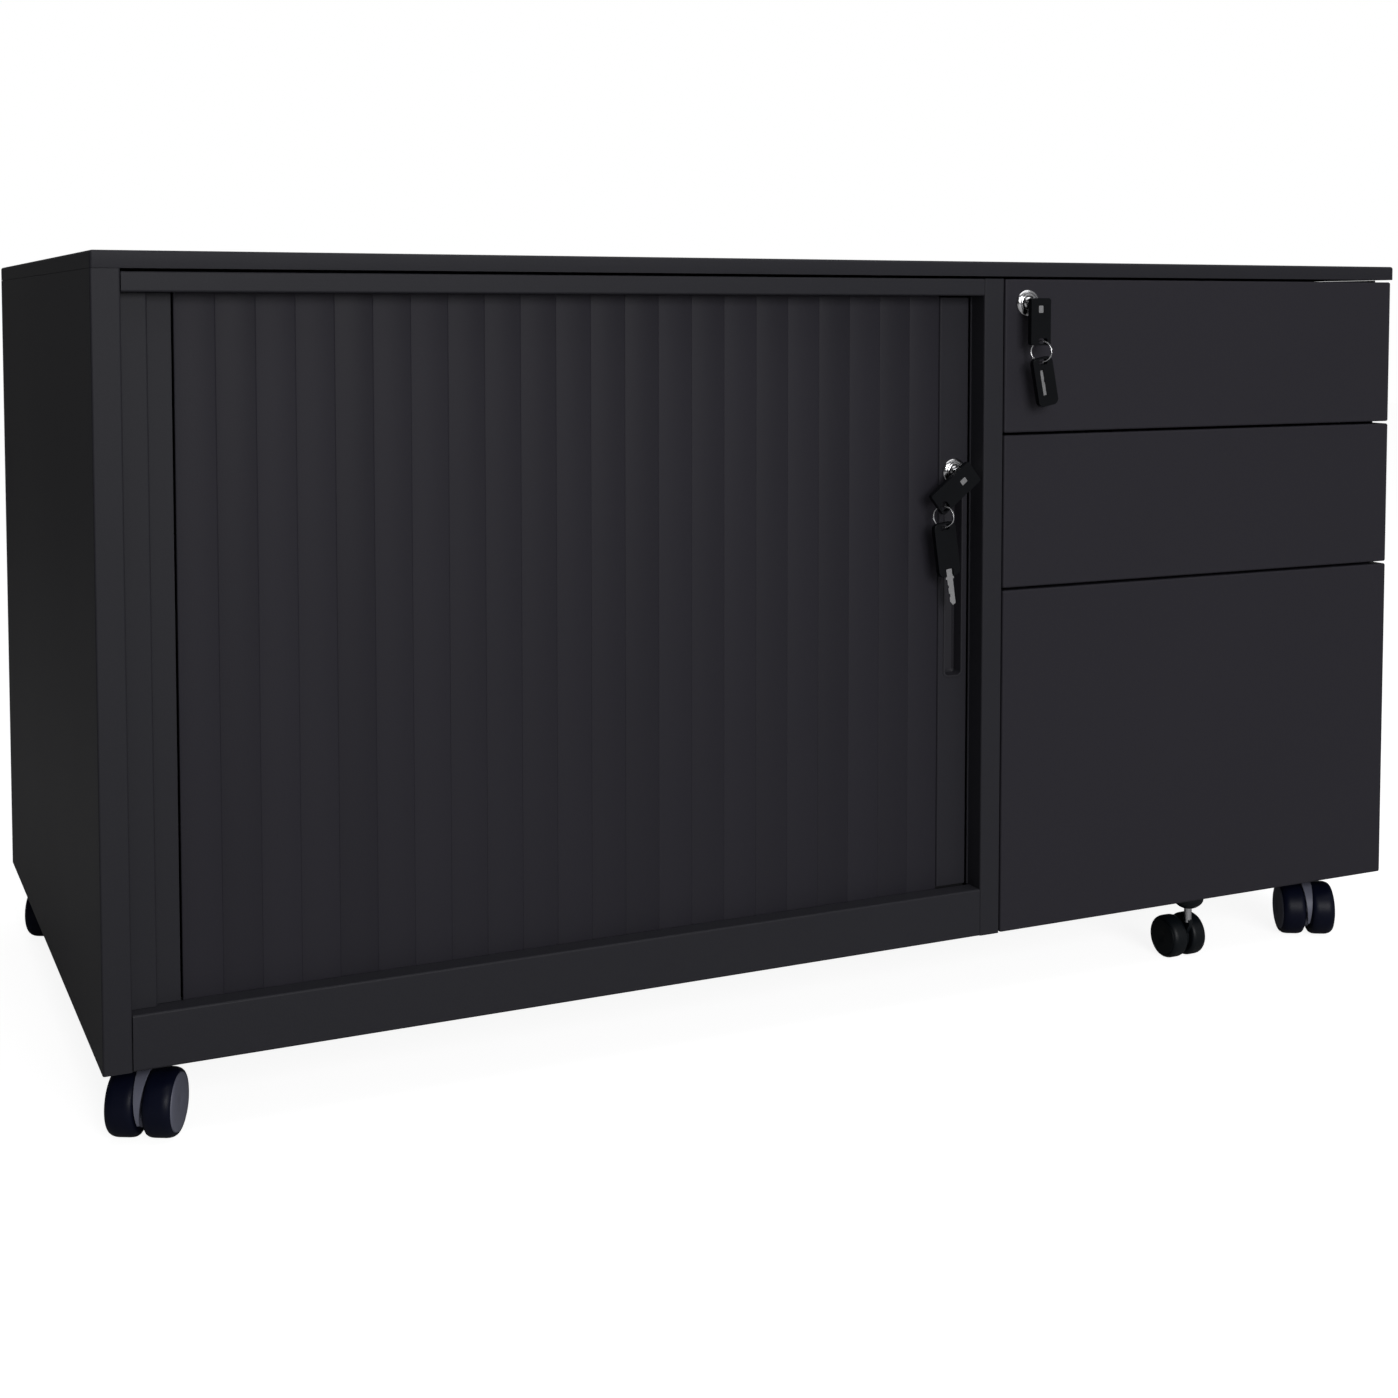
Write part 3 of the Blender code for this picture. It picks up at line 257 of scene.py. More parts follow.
def pressed_box(low, high, axis, side, radius, steps=4):
    """A box of sheet, open towards side along axis, with rounded bends and corners."""
    bm = bmesh.new()
    bmesh.ops.create_cube(bm, size=1.0)
    for vert in bm.verts:
        vert.co = [a if c < 0 else b for c, a, b in zip(vert.co, low, high)]
    mouth = max(bm.faces, key=lambda face: face.calc_center_median()[axis] * side)
    bmesh.ops.delete(bm, geom=[mouth], context="FACES_ONLY")
    bends = [edge for edge in bm.edges if len(edge.link_faces) == 2]
    bmesh.ops.recalc_face_normals(bm, faces=bm.faces)
    centre = (Vector(low) + Vector(high)) / 2
    if sum((face.calc_center_median() - centre).dot(face.normal) for face in bm.faces) < 0:
        bmesh.ops.reverse_faces(bm, faces=bm.faces)
    bmesh.ops.bevel(bm, geom=bends, offset=radius, segments=steps, profile=0.5, affect="EDGES")
    return bm


GRAPHITE = (0.0270, 0.0268, 0.0325)
body_paint = powder_coat("graphite_powder_coat", GRAPHITE, 0.50)
CAP_SHEET = 0.0012
CAP_BEND = 0.0022
finish_piece(
    "cap_sheet", pressed_box(*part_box("top_cap"), 2, -1, CAP_BEND), body_paint,
    "cabinet", ["top_cap"], CAP_SHEET,
)


# ---------------------------------------------------------------- side panels, back, divider and base
# The carcass is folded from 1 mm steel. The left panel turns in at the front as a
# 21 mm return, the right one carries a narrow flange behind the drawer fronts.
def fold(line, thickness, bend, steps=4):
    """The section of a folded sheet with rounded bends. The sheet lies to the left of the line."""
    near, far = [], []
    for i, point in enumerate(line):
        here = Vector(point)
        spans = zip(line[max(i - 1, 0):], line[max(i, 1):i + 2])
        ways = [(Vector(b) - Vector(a)).normalized() for a, b in spans]
        sides = [Vector((-way.y, way.x)) for way in ways]
        if len(sides) == 1 or i in (0, len(line) - 1):
            near.append(here)
            far.append(here + sides[0] * thickness)
            continue
        first, last = sides
        left = ways[0].cross(ways[1]) > 0
        reach = bend if left else bend - thickness
        hub = here + (first + last) * (reach if left else -reach) / (1 + first.dot(last))
        sweep = math.atan2(ways[0].cross(ways[1]), ways[0].dot(ways[1]))
        for k in range(steps + 1):
            angle = sweep * k / steps
            out = Vector((
                first.x * math.cos(angle) - first.y * math.sin(angle),
                first.x * math.sin(angle) + first.y * math.cos(angle),
            ))
            near.append(hub - out * reach if left else hub + out * reach)
            far.append(hub - out * (reach - thickness) if left else hub + out * (reach + thickness))
    return near + far[::-1]


def draw_out(outline, axis, start, end):
    """The outline carried along an axis: X takes (y, z) points, Y takes (x, z) and Z takes (x, y)."""
    put = {
        "X": lambda a, b, c: (c, a, b),
        "Y": lambda a, b, c: (a, c, b),
        "Z": lambda a, b, c: (a, b, c),
    }[axis]
    bm = bmesh.new()
    near = [bm.verts.new(put(a, b, start)) for a, b in outline]
    far = [bm.verts.new(put(a, b, end)) for a, b in outline]
    bm.faces.new(near)
    bm.faces.new(far[::-1])
    for i in range(len(outline)):
        j = (i + 1) % len(outline)
        bm.faces.new((near[i], far[i], far[j], near[j]))
    return bm


SHEET = 0.0010
BEND = 0.0016
RETURN_DEPTH = 0.0230
low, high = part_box("left_side_panel")
left_line = [
    (high.x, high.y), (low.x, high.y), (low.x, low.y), (high.x, low.y), (high.x, low.y + RETURN_DEPTH),
]
finish_piece(
    "left_panel", draw_out(fold(left_line, SHEET, BEND), "Z", low.z, high.z), body_paint,
    "cabinet", ["left_side_panel"],
)
low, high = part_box("right_side_panel")
REAR_FLANGE = 0.0208
FRONT_FLANGE = 0.0030
right_line = [
    (high.x - FRONT_FLANGE, low.y), (high.x, low.y), (high.x, high.y), (high.x - REAR_FLANGE, high.y),
]
finish_piece(
    "right_panel", draw_out(fold(right_line, SHEET, BEND), "Z", low.z, high.z), body_paint,
    "cabinet", ["right_side_panel"],
)
finish_piece(
    "base_sheet", pressed_box(*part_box("base_pan"), 2, -1, BEND), body_paint,
    "cabinet", ["base_pan"], CAP_SHEET,
)
finish_piece(
    "shelf_sheet", pressed_box(*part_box("shelf"), 2, -1, BEND), body_paint,
    "cabinet", ["shelf"], SHEET,
)
for node in ("back_panel", "divider_panel", "curtain_guard"):
    frame["nodes"][node].data.materials.clear()
    frame["nodes"][node].data.materials.append(body_paint)


# ---------------------------------------------------------------- rails, post and guide strips
# Folded strips frame the tambour. The two rails lie flush with the return, the
# strips at either end of the curtain step back, and hide the edges of the slats.
TOUCH = 0.0003
TOP_FLANGE = 0.012
track_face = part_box("lower_track")[0].y
low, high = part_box("top_rail")
top_line = [(low.y + TOP_FLANGE, high.z), (low.y, high.z), (low.y, low.z), (high.y, low.z)]
finish_piece(
    "tambour_top_rail", draw_out(fold(top_line, SHEET, BEND), "X", low.x, high.x), body_paint,
    "cabinet", ["top_rail"],
)
low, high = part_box("bottom_rail")
bottom_line = [(track_face - TOUCH, high.z), (low.y, high.z), (low.y, low.z), (high.y, low.z)]
finish_piece(
    "tambour_bottom_rail", draw_out(fold(bottom_line, SHEET, BEND), "X", low.x, high.x), body_paint,
    "cabinet", ["bottom_rail"],
)
low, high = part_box("centre_post")
POST_WIDTH = 0.0199
SLAT_SETBACK = 0.0195
strip_foot, strip_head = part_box("bottom_rail")[1].z + TOUCH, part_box("top_rail")[0].z - TOUCH
post_left, strip_face = high.x - POST_WIDTH, low.y + SLAT_SETBACK
post_line = [(post_left, strip_face), (post_left, low.y), (high.x, low.y), (high.x, high.y)]
finish_piece(
    "post", draw_out(fold(post_line, SHEET, BEND), "Z", low.z, high.z), body_paint,
    "cabinet", ["centre_post"],
)
strip_line = [(low.x, strip_face), (post_left - 0.0001, strip_face)]
finish_piece(
    "post_strip", draw_out(fold(strip_line, SHEET, BEND), "Z", strip_foot, strip_head), body_paint,
    "cabinet", (),
)
low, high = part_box("left_guide_strip")
OUTER_STRIP = 0.0192
step_x, step_y = low.x + OUTER_STRIP, high.y - SHEET
guide_line = [(low.x, low.y), (step_x, low.y), (step_x, step_y), (high.x, step_y)]
finish_piece(
    "guide_strip", draw_out(fold(guide_line, SHEET, BEND), "Z", low.z, high.z), body_paint,
    "cabinet", ["left_guide_strip"],
)


# ---------------------------------------------------------------- tambour tracks
# Two black plastic channels that the ends of the slats run in, clipped over the
# flanges of the rails and bent round the front left corner.
def moulded(name, colour, roughness, grain=900.0, relief=0.00004, specular=0.4):
    """Moulded plastic with a spark-eroded grain and slightly uneven gloss."""
    paint = Paint(name, roughness, specular=specular)
    fine = paint.noise(grain, 2.0)
    broad = paint.noise(35.0, 2.0)
    return paint.feed(
        colour=paint.mix(fine * 0.5 + broad * 0.5, shade(colour, 0.85), shade(colour, 1.15)),
        roughness=roughness - 0.05 + broad * 0.10,
        relief=(fine, relief),
    )


track_plastic = moulded("track_plastic", (0.010, 0.010, 0.012), 0.55)
for node in ("lower_track", "upper_track"):
    frame["nodes"][node].data.materials.clear()
    frame["nodes"][node].data.materials.append(track_plastic)


# ---------------------------------------------------------------- tambour curtain
# Twenty-two hollow slats, clipped edge to edge and coated in the body's colour.
# Each has a flat face with eased long edges, and a flexible web holds them behind.
SLAT_COUNT = 22
SLAT_OVERLAP = 0.0001
SLAT_EASE = 0.0007
SLAT_DIP = 0.00035
SLAT_DEPTH = 0.0040
BACKING_INSET = 0.002
low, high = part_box("tambour_curtain")
slat_pitch = (high.x - low.x) / SLAT_COUNT


def slat_section(width):
    """One slat seen from above: (x, y), its face towards -Y, from 0 to width."""
    points = [(0.0, SLAT_DIP), (SLAT_EASE * 0.4, SLAT_DIP * 0.4), (SLAT_EASE, 0.0)]
    points += [(width - x, y) for x, y in points[::-1]]
    points += [(width, SLAT_DEPTH), (0.0, SLAT_DEPTH)]
    return points


def repeat_tree(name, material):
    """Repeats the incoming shape along a line, and lays a backing sheet behind it."""
    tree = bpy.data.node_groups.new(name, "GeometryNodeTree")
    face = tree.interface
    face.new_socket("Geometry", in_out="INPUT", socket_type="NodeSocketGeometry")
    for label, kind in (
        ("Count", "NodeSocketInt"), ("Step", "NodeSocketVector"),
        ("Backing Size", "NodeSocketVector"), ("Backing Centre", "NodeSocketVector"),
    ):
        face.new_socket(label, in_out="INPUT", socket_type=kind)
    face.new_socket("Geometry", in_out="OUTPUT", socket_type="NodeSocketGeometry")

    def add(kind, **settings):
        made = tree.nodes.new(kind)
        for key, value in settings.items():
            setattr(made, key, value)
        return made

    source, target = add("NodeGroupInput"), add("NodeGroupOutput")
    line = add("GeometryNodeMeshLine", mode="OFFSET")
    copies = add("GeometryNodeInstanceOnPoints")
    solid = add("GeometryNodeRealizeInstances")
    backing = add("GeometryNodeMeshCube")
    move = add("GeometryNodeTransform")
    both = add("GeometryNodeJoinGeometry")
    coat = add("GeometryNodeSetMaterial")
    coat.inputs["Material"].default_value = material
    link = tree.links.new
    link(source.outputs["Count"], line.inputs["Count"])
    link(source.outputs["Step"], line.inputs["Offset"])
    link(line.outputs["Mesh"], copies.inputs["Points"])
    link(source.outputs["Geometry"], copies.inputs["Instance"])
    link(source.outputs["Backing Size"], backing.inputs["Size"])
    link(source.outputs["Backing Centre"], move.inputs["Translation"])
    link(backing.outputs["Mesh"], move.inputs["Geometry"])
    link(copies.outputs["Instances"], both.inputs["Geometry"])
    link(move.outputs["Geometry"], both.inputs["Geometry"])
    link(both.outputs["Geometry"], solid.inputs["Geometry"])
    link(solid.outputs["Geometry"], coat.inputs["Geometry"])
    link(coat.outputs["Geometry"], target.inputs["Geometry"])
    return tree


def grow(name, bm, tree, values):
    """Runs a tree on bm and returns the result as a plain mesh object."""
    bmesh.ops.recalc_face_normals(bm, faces=bm.faces)
    seed_mesh = bpy.data.meshes.new(name + "_seed")
    bm.to_mesh(seed_mesh)
    bm.free()
    seed = bpy.data.objects.new(name + "_seed", seed_mesh)
    bpy.context.collection.objects.link(seed)
    step = seed.modifiers.new("grow", "NODES")
    step.node_group = tree
    sockets = {item.name: item.identifier for item in tree.interface.items_tree if item.in_out == "INPUT"}
    for label, value in values.items():
        step[sockets[label]] = value
    view = bpy.context.evaluated_depsgraph_get()
    mesh = bpy.data.meshes.new_from_object(seed.evaluated_get(view))
    mesh.name = name
    bpy.data.objects.remove(seed)
    made = bpy.data.objects.new(name, mesh)
    bpy.context.collection.objects.link(made)
    mesh.shade_smooth()
    mesh.set_sharp_from_angle(angle=math.radians(30))
    return made


SLAT_COLOUR = (0.0251, 0.0238, 0.0310)


def slat_paint(first_edge, pitch):
    """The body's paint with a hint of difference from slat to slat."""
    paint = Paint("slat_paint", 0.48, specular=0.15)
    peel = paint.noise(620.0, 2.0)
    along = paint.axis(paint.place((first_edge, 0, 0), stretch=(1 / pitch, 1, 1)), 0)
    index = paint.node("ShaderNodeMath", {"operation": "FLOOR"}, {0: along})
    share = paint.node("ShaderNodeTexWhiteNoise", {"noise_dimensions": "1D"}, {"W": index}, "Value")
    tone = peel * 0.35 + share * 0.35 + paint.noise(4.0, 2.0) * 0.30
    return paint.feed(
        colour=paint.mix(tone, shade(SLAT_COLOUR, 0.84), shade(SLAT_COLOUR, 1.16)),
        roughness=0.43 + share * 0.05 + peel * 0.05,
        relief=(peel, 0.00006),
    )


curtain_paint = slat_paint(low.x, slat_pitch)
backing_thickness = high.y - low.y - SLAT_DEPTH + 0.0005
slat = draw_out(slat_section(slat_pitch + 2 * SLAT_OVERLAP), "Z", low.z, high.z)
bmesh.ops.translate(slat, vec=(low.x - SLAT_OVERLAP, low.y, 0.0), verts=slat.verts)
curtain = grow(
    "tambour_slats", slat, repeat_tree("slat_row", curtain_paint),
    {
        "Count": SLAT_COUNT,
        "Step": (slat_pitch, 0.0, 0.0),
        "Backing Size": (
            high.x - low.x - BACKING_INSET, backing_thickness, high.z - low.z - BACKING_INSET,
        ),
        "Backing Centre": ((low.x + high.x) / 2, high.y - backing_thickness / 2, (low.z + high.z) / 2),
    },
)
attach(curtain, "cabinet")
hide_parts("tambour_curtain")
# The curtain really turns the corner; here it gathers behind the guide strip.
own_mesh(curtain)


# ---------------------------------------------------------------- lead stile and finger pull
# The curtain ends in a folded stile. A dark grey plastic cup is pressed into a
# slot in it, to pull the tambour by, and the cam lock sits above the cup.
def carve(piece, bm, operation="DIFFERENCE"):
    """Cuts bm out of a piece, or joins it on, and leaves a plain mesh."""
    bmesh.ops.recalc_face_normals(bm, faces=bm.faces)
    mesh = bpy.data.meshes.new("cutter")
    bm.to_mesh(mesh)
    bm.free()
    cutter = bpy.data.objects.new("cutter", mesh)
    bpy.context.collection.objects.link(cutter)
    kept = [(m.name, m.type) for m in piece.modifiers]
    piece.modifiers.clear()
    step = piece.modifiers.new("carve", "BOOLEAN")
    step.operation = operation
    step.solver = "EXACT"
    step.object = cutter
    bpy.context.view_layer.update()
    view = bpy.context.evaluated_depsgraph_get()
    result = bpy.data.meshes.new_from_object(piece.evaluated_get(view))
    piece.modifiers.clear()
    piece.data = result
    bpy.data.objects.remove(cutter)
    result.shade_smooth()
    result.set_sharp_from_angle(angle=math.radians(33))
    for name, kind in kept:
        piece.modifiers.new(name, kind).keep_sharp = True
    return piece


def round_corners(low, high, radius, steps=5):
    """A rectangle with round corners, as points round its edge."""
    points = []
    for x, y, start in (
        (high[0] - radius, high[1] - radius, 0), (low[0] + radius, high[1] - radius, 90),
        (low[0] + radius, low[1] + radius, 180), (high[0] - radius, low[1] + radius, 270),
    ):
        for k in range(steps + 1):
            angle = math.radians(start + 90 * k / steps)
            points.append((x + radius * math.cos(angle), y + radius * math.sin(angle)))
    return points


low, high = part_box("lead_stile")
stile_line = [(low.x, high.y), (low.x, low.y), (high.x, low.y), (high.x, high.y)]
stile_paint = powder_coat("stile_powder_coat", (0.0265, 0.0258, 0.0320), 0.48)
stile = finish_piece(
    "stile", draw_out(fold(stile_line, SHEET, BEND), "Z", low.z, high.z), stile_paint,
    "door", ["lead_stile"],
)
PULL_RIM = 0.0040
cup_low, cup_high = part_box("pull_cup")
slot_low = (cup_low.x + PULL_RIM, cup_low.z + PULL_RIM)
slot_high = (cup_high.x - PULL_RIM, cup_high.z - PULL_RIM)
carve(stile, draw_out(round_corners(slot_low, slot_high, 0.0040), "Y", low.y - 0.01, low.y + 0.006))

# the cup: a rim on the stile's face, walls, and a floor that slopes deeper to the right
pull_plastic = moulded("pull_plastic", (0.0225, 0.0215, 0.0275), 0.50)
cup_front, cup_back = low.y - 0.0009, cup_high.y - 0.0004
CUP_LIP = 0.0011
loops = []
for inset, depth, corner in (
    (-CUP_LIP, cup_front + 0.0010, 0.0048), (-CUP_LIP, cup_front + 0.0003, 0.0048),
    (-0.0007, cup_front, 0.0046),
    (0.0001, cup_front, 0.0040), (0.0005, cup_front + 0.0004, 0.0037), (0.0007, cup_front + 0.0030, 0.0035),
    (0.0016, cup_back - 0.0016, 0.0030), (0.0032, cup_back, 0.0018),
):
    inner_low = (slot_low[0] + inset, slot_low[1] + inset)
    inner_high = (slot_high[0] - inset, slot_high[1] - inset)
    loops.append([(x, depth, z) for x, z in round_corners(inner_low, inner_high, corner)])


def skin(loops):
    """Faces between one loop of points and the next, with the ends closed."""
    bm = bmesh.new()
    rings = [[bm.verts.new(point) for point in loop] for loop in loops]
    for near, far in zip(rings, rings[1:]):
        for i in range(len(near)):
            j = (i + 1) % len(near)
            bm.faces.new((near[i], near[j], far[j], far[i]))
    bm.faces.new(rings[0][::-1])
    bm.faces.new(rings[-1])
    return bm


back_low = (slot_low[0] - CUP_LIP, slot_low[1] - CUP_LIP)
back_high = (slot_high[0] + CUP_LIP, slot_high[1] + CUP_LIP)
outer = [(x, cup_high.y, z) for x, z in round_corners(back_low, back_high, 0.0048)]
finish_piece("finger_cup", skin([outer] + loops), pull_plastic, "door", ["pull_cup"])


# ---------------------------------------------------------------- locks and keys
# Cam locks in chromed zinc with a stepped rosette. A folding key stays in each:
# its blade turns the plug, its black plastic head hangs down, and a split ring
# carries the spare, folded up on the drawers and open on the tambour.
def lathe(profile, centre=(0, 0, 0), axis="Y", segments=48):
    """Turns (radius, along) points round an axis through the centre."""
    put = {
        "X": lambda u, v, w: (w, u, v),
        "Y": lambda u, v, w: (u, w, v),
        "Z": lambda u, v, w: (u, v, w),
    }[axis]
    bm = bmesh.new()
    rings = []
    for radius, along in profile:
        count = 1 if radius == 0 else segments
        ring = []
        for k in range(count):
            angle = 2 * math.pi * k / segments
            place = Vector(put(radius * math.cos(angle), radius * math.sin(angle), along))
            ring.append(bm.verts.new(place + Vector(centre)))
        rings.append(ring)
    pairs = list(zip(rings, rings[1:]))
    if profile[0][0] and profile[-1][0]:
        pairs.append((rings[-1], rings[0]))
    for a, b in pairs:
        for k in range(segments):
            n = (k + 1) % segments
            corners = [a[k % len(a)], a[n % len(a)], b[n % len(b)], b[k % len(b)]]
            bm.faces.new(list(dict.fromkeys(corners)))
    return bm


def chromed(name, centre):
    """Bright chrome with faint turning marks round the lock's axis."""
    paint = Paint(name, 0.12, metallic=1.0)
    spot = paint.place(centre, stretch=(1, 0, 1))
    radius = paint.node("ShaderNodeVectorMath", {"operation": "LENGTH"}, {0: spot}, "Value")
    rings = paint.node("ShaderNodeMath", {"operation": "SINE"}, {0: radius * 26000.0})
    smudge = paint.noise(160.0, 3.0)
    return paint.feed(
        colour=paint.mix(smudge, (0.74, 0.74, 0.76), (0.88, 0.88, 0.90)),
        roughness=0.09 + smudge * 0.10,
        relief=(rings, 0.000006),
    )


def blade_steel(name):
    """Nickel-plated key steel with fine marks along it."""
    paint = Paint(name, 0.22, metallic=1.0)
    marks = paint.noise(900.0, 3.0, paint.place(stretch=(1, 1, 0.12)))
    return paint.feed(
        colour=paint.mix(marks, (0.62, 0.62, 0.64), (0.80, 0.80, 0.82)),
        roughness=0.16 + marks * 0.16,
    )


ring_steel = blade_steel("ring_steel")
key_plastic = moulded("key_plastic", (0.0030, 0.0036, 0.0050), 0.42, 1400.0, specular=0.15)
KEY_THICKNESS = 0.0050
KEY_EDGE = 0.0007
BOSS = 0.0055
HEAD_CORNER, SPARE_CORNER = 0.0014, 0.0040
PLUG_RADIUS = 0.0052
BLADE_WIDTH, BLADE_THICKNESS = 0.0060, 0.0020
RING_RADIUS, RING_WIRE = 0.0090, 0.00050
RING_TURN = math.radians(-50)


def brick(low, high, edge=0.0):
    bm = bmesh.new()
    bmesh.ops.create_cube(bm, size=1.0)
    for vert in bm.verts:
        vert.co = [a if c < 0 else b for c, a, b in zip(vert.co, low, high)]
    if edge:
        bmesh.ops.bevel(bm, geom=list(bm.edges), offset=edge, segments=2, profile=0.5, affect="EDGES")
    return bm


def key_head(low, high, corner):
    """A key head about its pivot: X runs along it, Z across it and Y through its thickness."""
    bm = draw_out(round_corners(low, high, corner), "Y", -KEY_THICKNESS / 2, KEY_THICKNESS / 2)
    faces = [face for face in bm.faces if len(face.verts) > 4]
    rims = list({edge for face in faces for edge in face.edges})
    bmesh.ops.bevel(bm, geom=rims, offset=KEY_EDGE, segments=3, profile=0.5, affect="EDGES")
    return bm


def eye_cutter(along, across, half_height, half_length, corner):
    low, high = (along - half_height, across - half_length), (along + half_height, across + half_length)
    return draw_out(round_corners(low, high, corner), "Y", -0.01, 0.01)


def pose_at(place, tilt=0.0):
    return Matrix.Translation(place) @ Matrix.Rotation(tilt, 4, "Y")


def carve_at(piece, bm, where, operation="DIFFERENCE"):
    bmesh.ops.transform(bm, matrix=where, verts=bm.verts)
    return carve(piece, bm, operation)


def split_ring(top):
    """Two turns of spring wire that lie against each other, hanging from the point top."""
    centre = top - Vector((0, 0, RING_RADIUS))
    steps, turns, sides = 96, 1.94, 8
    bm = bmesh.new()
    rings = []
    for i in range(steps + 1):
        part = i / steps
        a = 2 * math.pi * turns * part
        offset = RING_WIRE * 2.04 * (part * turns - turns / 2)
        ring = []
        for k in range(sides):
            b = 2 * math.pi * k / sides
            reach = RING_RADIUS + RING_WIRE * math.cos(b)
            flat = Vector((reach * math.cos(a), offset + RING_WIRE * math.sin(b)))
            x = flat.x * math.cos(RING_TURN) - flat.y * math.sin(RING_TURN)
            y = flat.x * math.sin(RING_TURN) + flat.y * math.cos(RING_TURN)
            ring.append(bm.verts.new(Vector((x, y, reach * math.sin(a))) + centre))
        rings.append(ring)
    for near, far in zip(rings, rings[1:]):
        for k in range(sides):
            m = (k + 1) % sides
            bm.faces.new((near[k], near[m], far[m], far[k]))
    bm.faces.new(rings[0][::-1])
    bm.faces.new(rings[-1])
    return bm


def joint_place(name):
    return Vector(next(j for j in frame["record"]["behaviour"]["joints"] if j["name"] == name)["pos_m"])


def lock_and_keys(name, short, tilt, head, eye, spare, spare_tilt, open_blade):
    """A cam lock and its plug, the folding key in it, the split ring and the spare key that hangs from it."""
    low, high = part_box(f"{name}_lock_body")
    front = low.y
    radius = (high.x - low.x) / 2
    turn_point = joint_place(f"{short}_lock_turn")
    centre = Vector((turn_point.x, 0.0, turn_point.z))
    chrome = chromed(f"{name}_lock_chrome", centre)
    # the rosette: a bevelled flange, a groove, a raised ring and a dished middle
    case = [
        (0.0057, front + 0.0016), (0.0060, front + 0.0005), (0.0066, front), (0.0074, front + 0.0001),
        (0.0078, front + 0.0004), (0.0080, front + 0.0016), (0.0087, front + 0.0016),
        (0.0089, front + 0.0003),
        (radius - 0.0008, front + 0.0012), (radius - 0.0002, front + 0.0020), (radius, front + 0.0027),
        (radius, front + 0.0030), (0.0091, front + 0.0030), (0.0091, high.y), (0.0057, high.y),
    ]
    carrier = "door" if short == "door" else "top_drawer"
    rosette = lathe(case, centre)
    finish_piece(f"{name}_rosette", rosette, chrome, carrier, [f"{name}_lock_body"])

    pivot = joint_place(f"{short}_key_fold")
    plug_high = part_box(f"{name}_lock_plug")[1]
    plug_face = front - 0.0007
    stem = [
        (0, plug_face), (0.0040, plug_face), (0.0046, plug_face + 0.0005), (PLUG_RADIUS, plug_face + 0.0010),
        (PLUG_RADIUS, plug_high.y), (0, plug_high.y),
    ]
    plug = finish_piece(
        f"{name}_plug", lathe(stem, centre, segments=40), chrome,
        f"{short}_plug", [f"{name}_lock_plug"],
    )
    where = pose_at(pivot, tilt)
    half = BLADE_WIDTH / 2
    shank_end = plug_face - pivot.y + 0.002
    shank = brick((-BLADE_THICKNESS / 2, 0.0, -half), (BLADE_THICKNESS / 2, shank_end, half), 0.0002)
    carve_at(plug, shank, where, "UNION")
    knuckle = [(0, -half - 0.0002), (0.0021, -half - 0.0002), (0.0021, half + 0.0002), (0, half + 0.0002)]
    carve_at(plug, lathe(knuckle, axis="Z", segments=24), where, "UNION")
    if short == "drawer":
        cam_back = plug_high.y - 0.0003
        arm = round_corners((-0.0040, -0.0205), (0.0040, 0.0045), 0.0035)
        carve_at(plug, draw_out(arm, "Y", cam_back - 0.0020, cam_back), pose_at(centre, tilt), "UNION")

    length, width, inset, offset = head
    head_low = (-inset, offset - width / 2)
    head_high = (length - inset, offset + width / 2)
    along, across = head_high[0] - eye[0], head_high[1] - eye[1]
    holder = finish_piece(
        f"{name}_folding_head", key_head(head_low, head_high, HEAD_CORNER), key_plastic,
        f"{short}_key", [f"{name}_key_head"], turn=where,
    )
    carve_at(holder, eye_cutter(along, across, *eye[2:]), where)
    # the slot that the blade folds out of, open behind and at the upper end
    carve_at(holder, brick((-0.02, -0.0013, -0.0036), (0.0024, 0.01, 0.0036)), where)
    # a bright inset in the face, where the blade's boss shows
    face = -KEY_THICKNESS / 2
    window = round_corners((BOSS - 0.0034, offset - 0.0026), (BOSS + 0.0034, offset + 0.0026), 0.0010)
    carve_at(holder, draw_out(window, "Y", -0.01, face + 0.0008), where)
    plate = round_corners((BOSS - 0.0031, offset - 0.0023), (BOSS + 0.0031, offset + 0.0023), 0.0008)
    finish_piece(
        f"{name}_boss", draw_out(plate, "Y", face + 0.0002, face + 0.0008), ring_steel,
        f"{short}_key", (), turn=where,
    )

    hang = where @ Vector((along, 0.0, across))
    finish_piece(
        f"{name}_split_ring", split_ring(hang), ring_steel,
        f"{short}_ring", [f"{name}_key_ring"],
    )

    length, width = spare
    end = length - SPARE_EYE_INSET
    lean = pose_at(hang - Vector((0, 0, 2 * RING_RADIUS)), spare_tilt)
    spare_head = key_head((-SPARE_EYE_INSET, -width / 2), (end, width / 2), SPARE_CORNER)
    second = finish_piece(
        f"{name}_spare_head", spare_head, key_plastic,
        f"{short}_spare", [f"{name}_spare_key"], turn=lean,
    )
    carve_at(second, eye_cutter(0.0, 0.0, *SPARE_EYE), lean)
    if open_blade:
        notch = round_corners((end - 0.0062, -0.0036), (end + 0.002, 0.0036), 0.0006)
        carve_at(second, draw_out(notch, "Y", -0.01, 0.01), lean)
        outline = [
            (-0.0058, -0.0030), (0.0010, -0.0030), (0.0010, -0.0040), (0.0030, -0.0040), (0.0030, -0.0028),
            (0.0075, -0.0028), (0.0085, -0.0020), (0.0100, -0.0020), (0.0112, -0.0026), (0.0150, -0.0026),
            (0.0160, -0.0016), (0.0180, -0.0016), (0.0192, -0.0024), (0.0222, -0.0024), (0.0256, 0.0000),
            (0.0244, 0.0028), (0.0030, 0.0028), (0.0030, 0.0040), (0.0010, 0.0040), (0.0010, 0.0030),
            (-0.0058, 0.0030),
        ]
        blade = [(end + x, z) for x, z in outline]
        depth = (-0.0010, 0.0010)
    else:
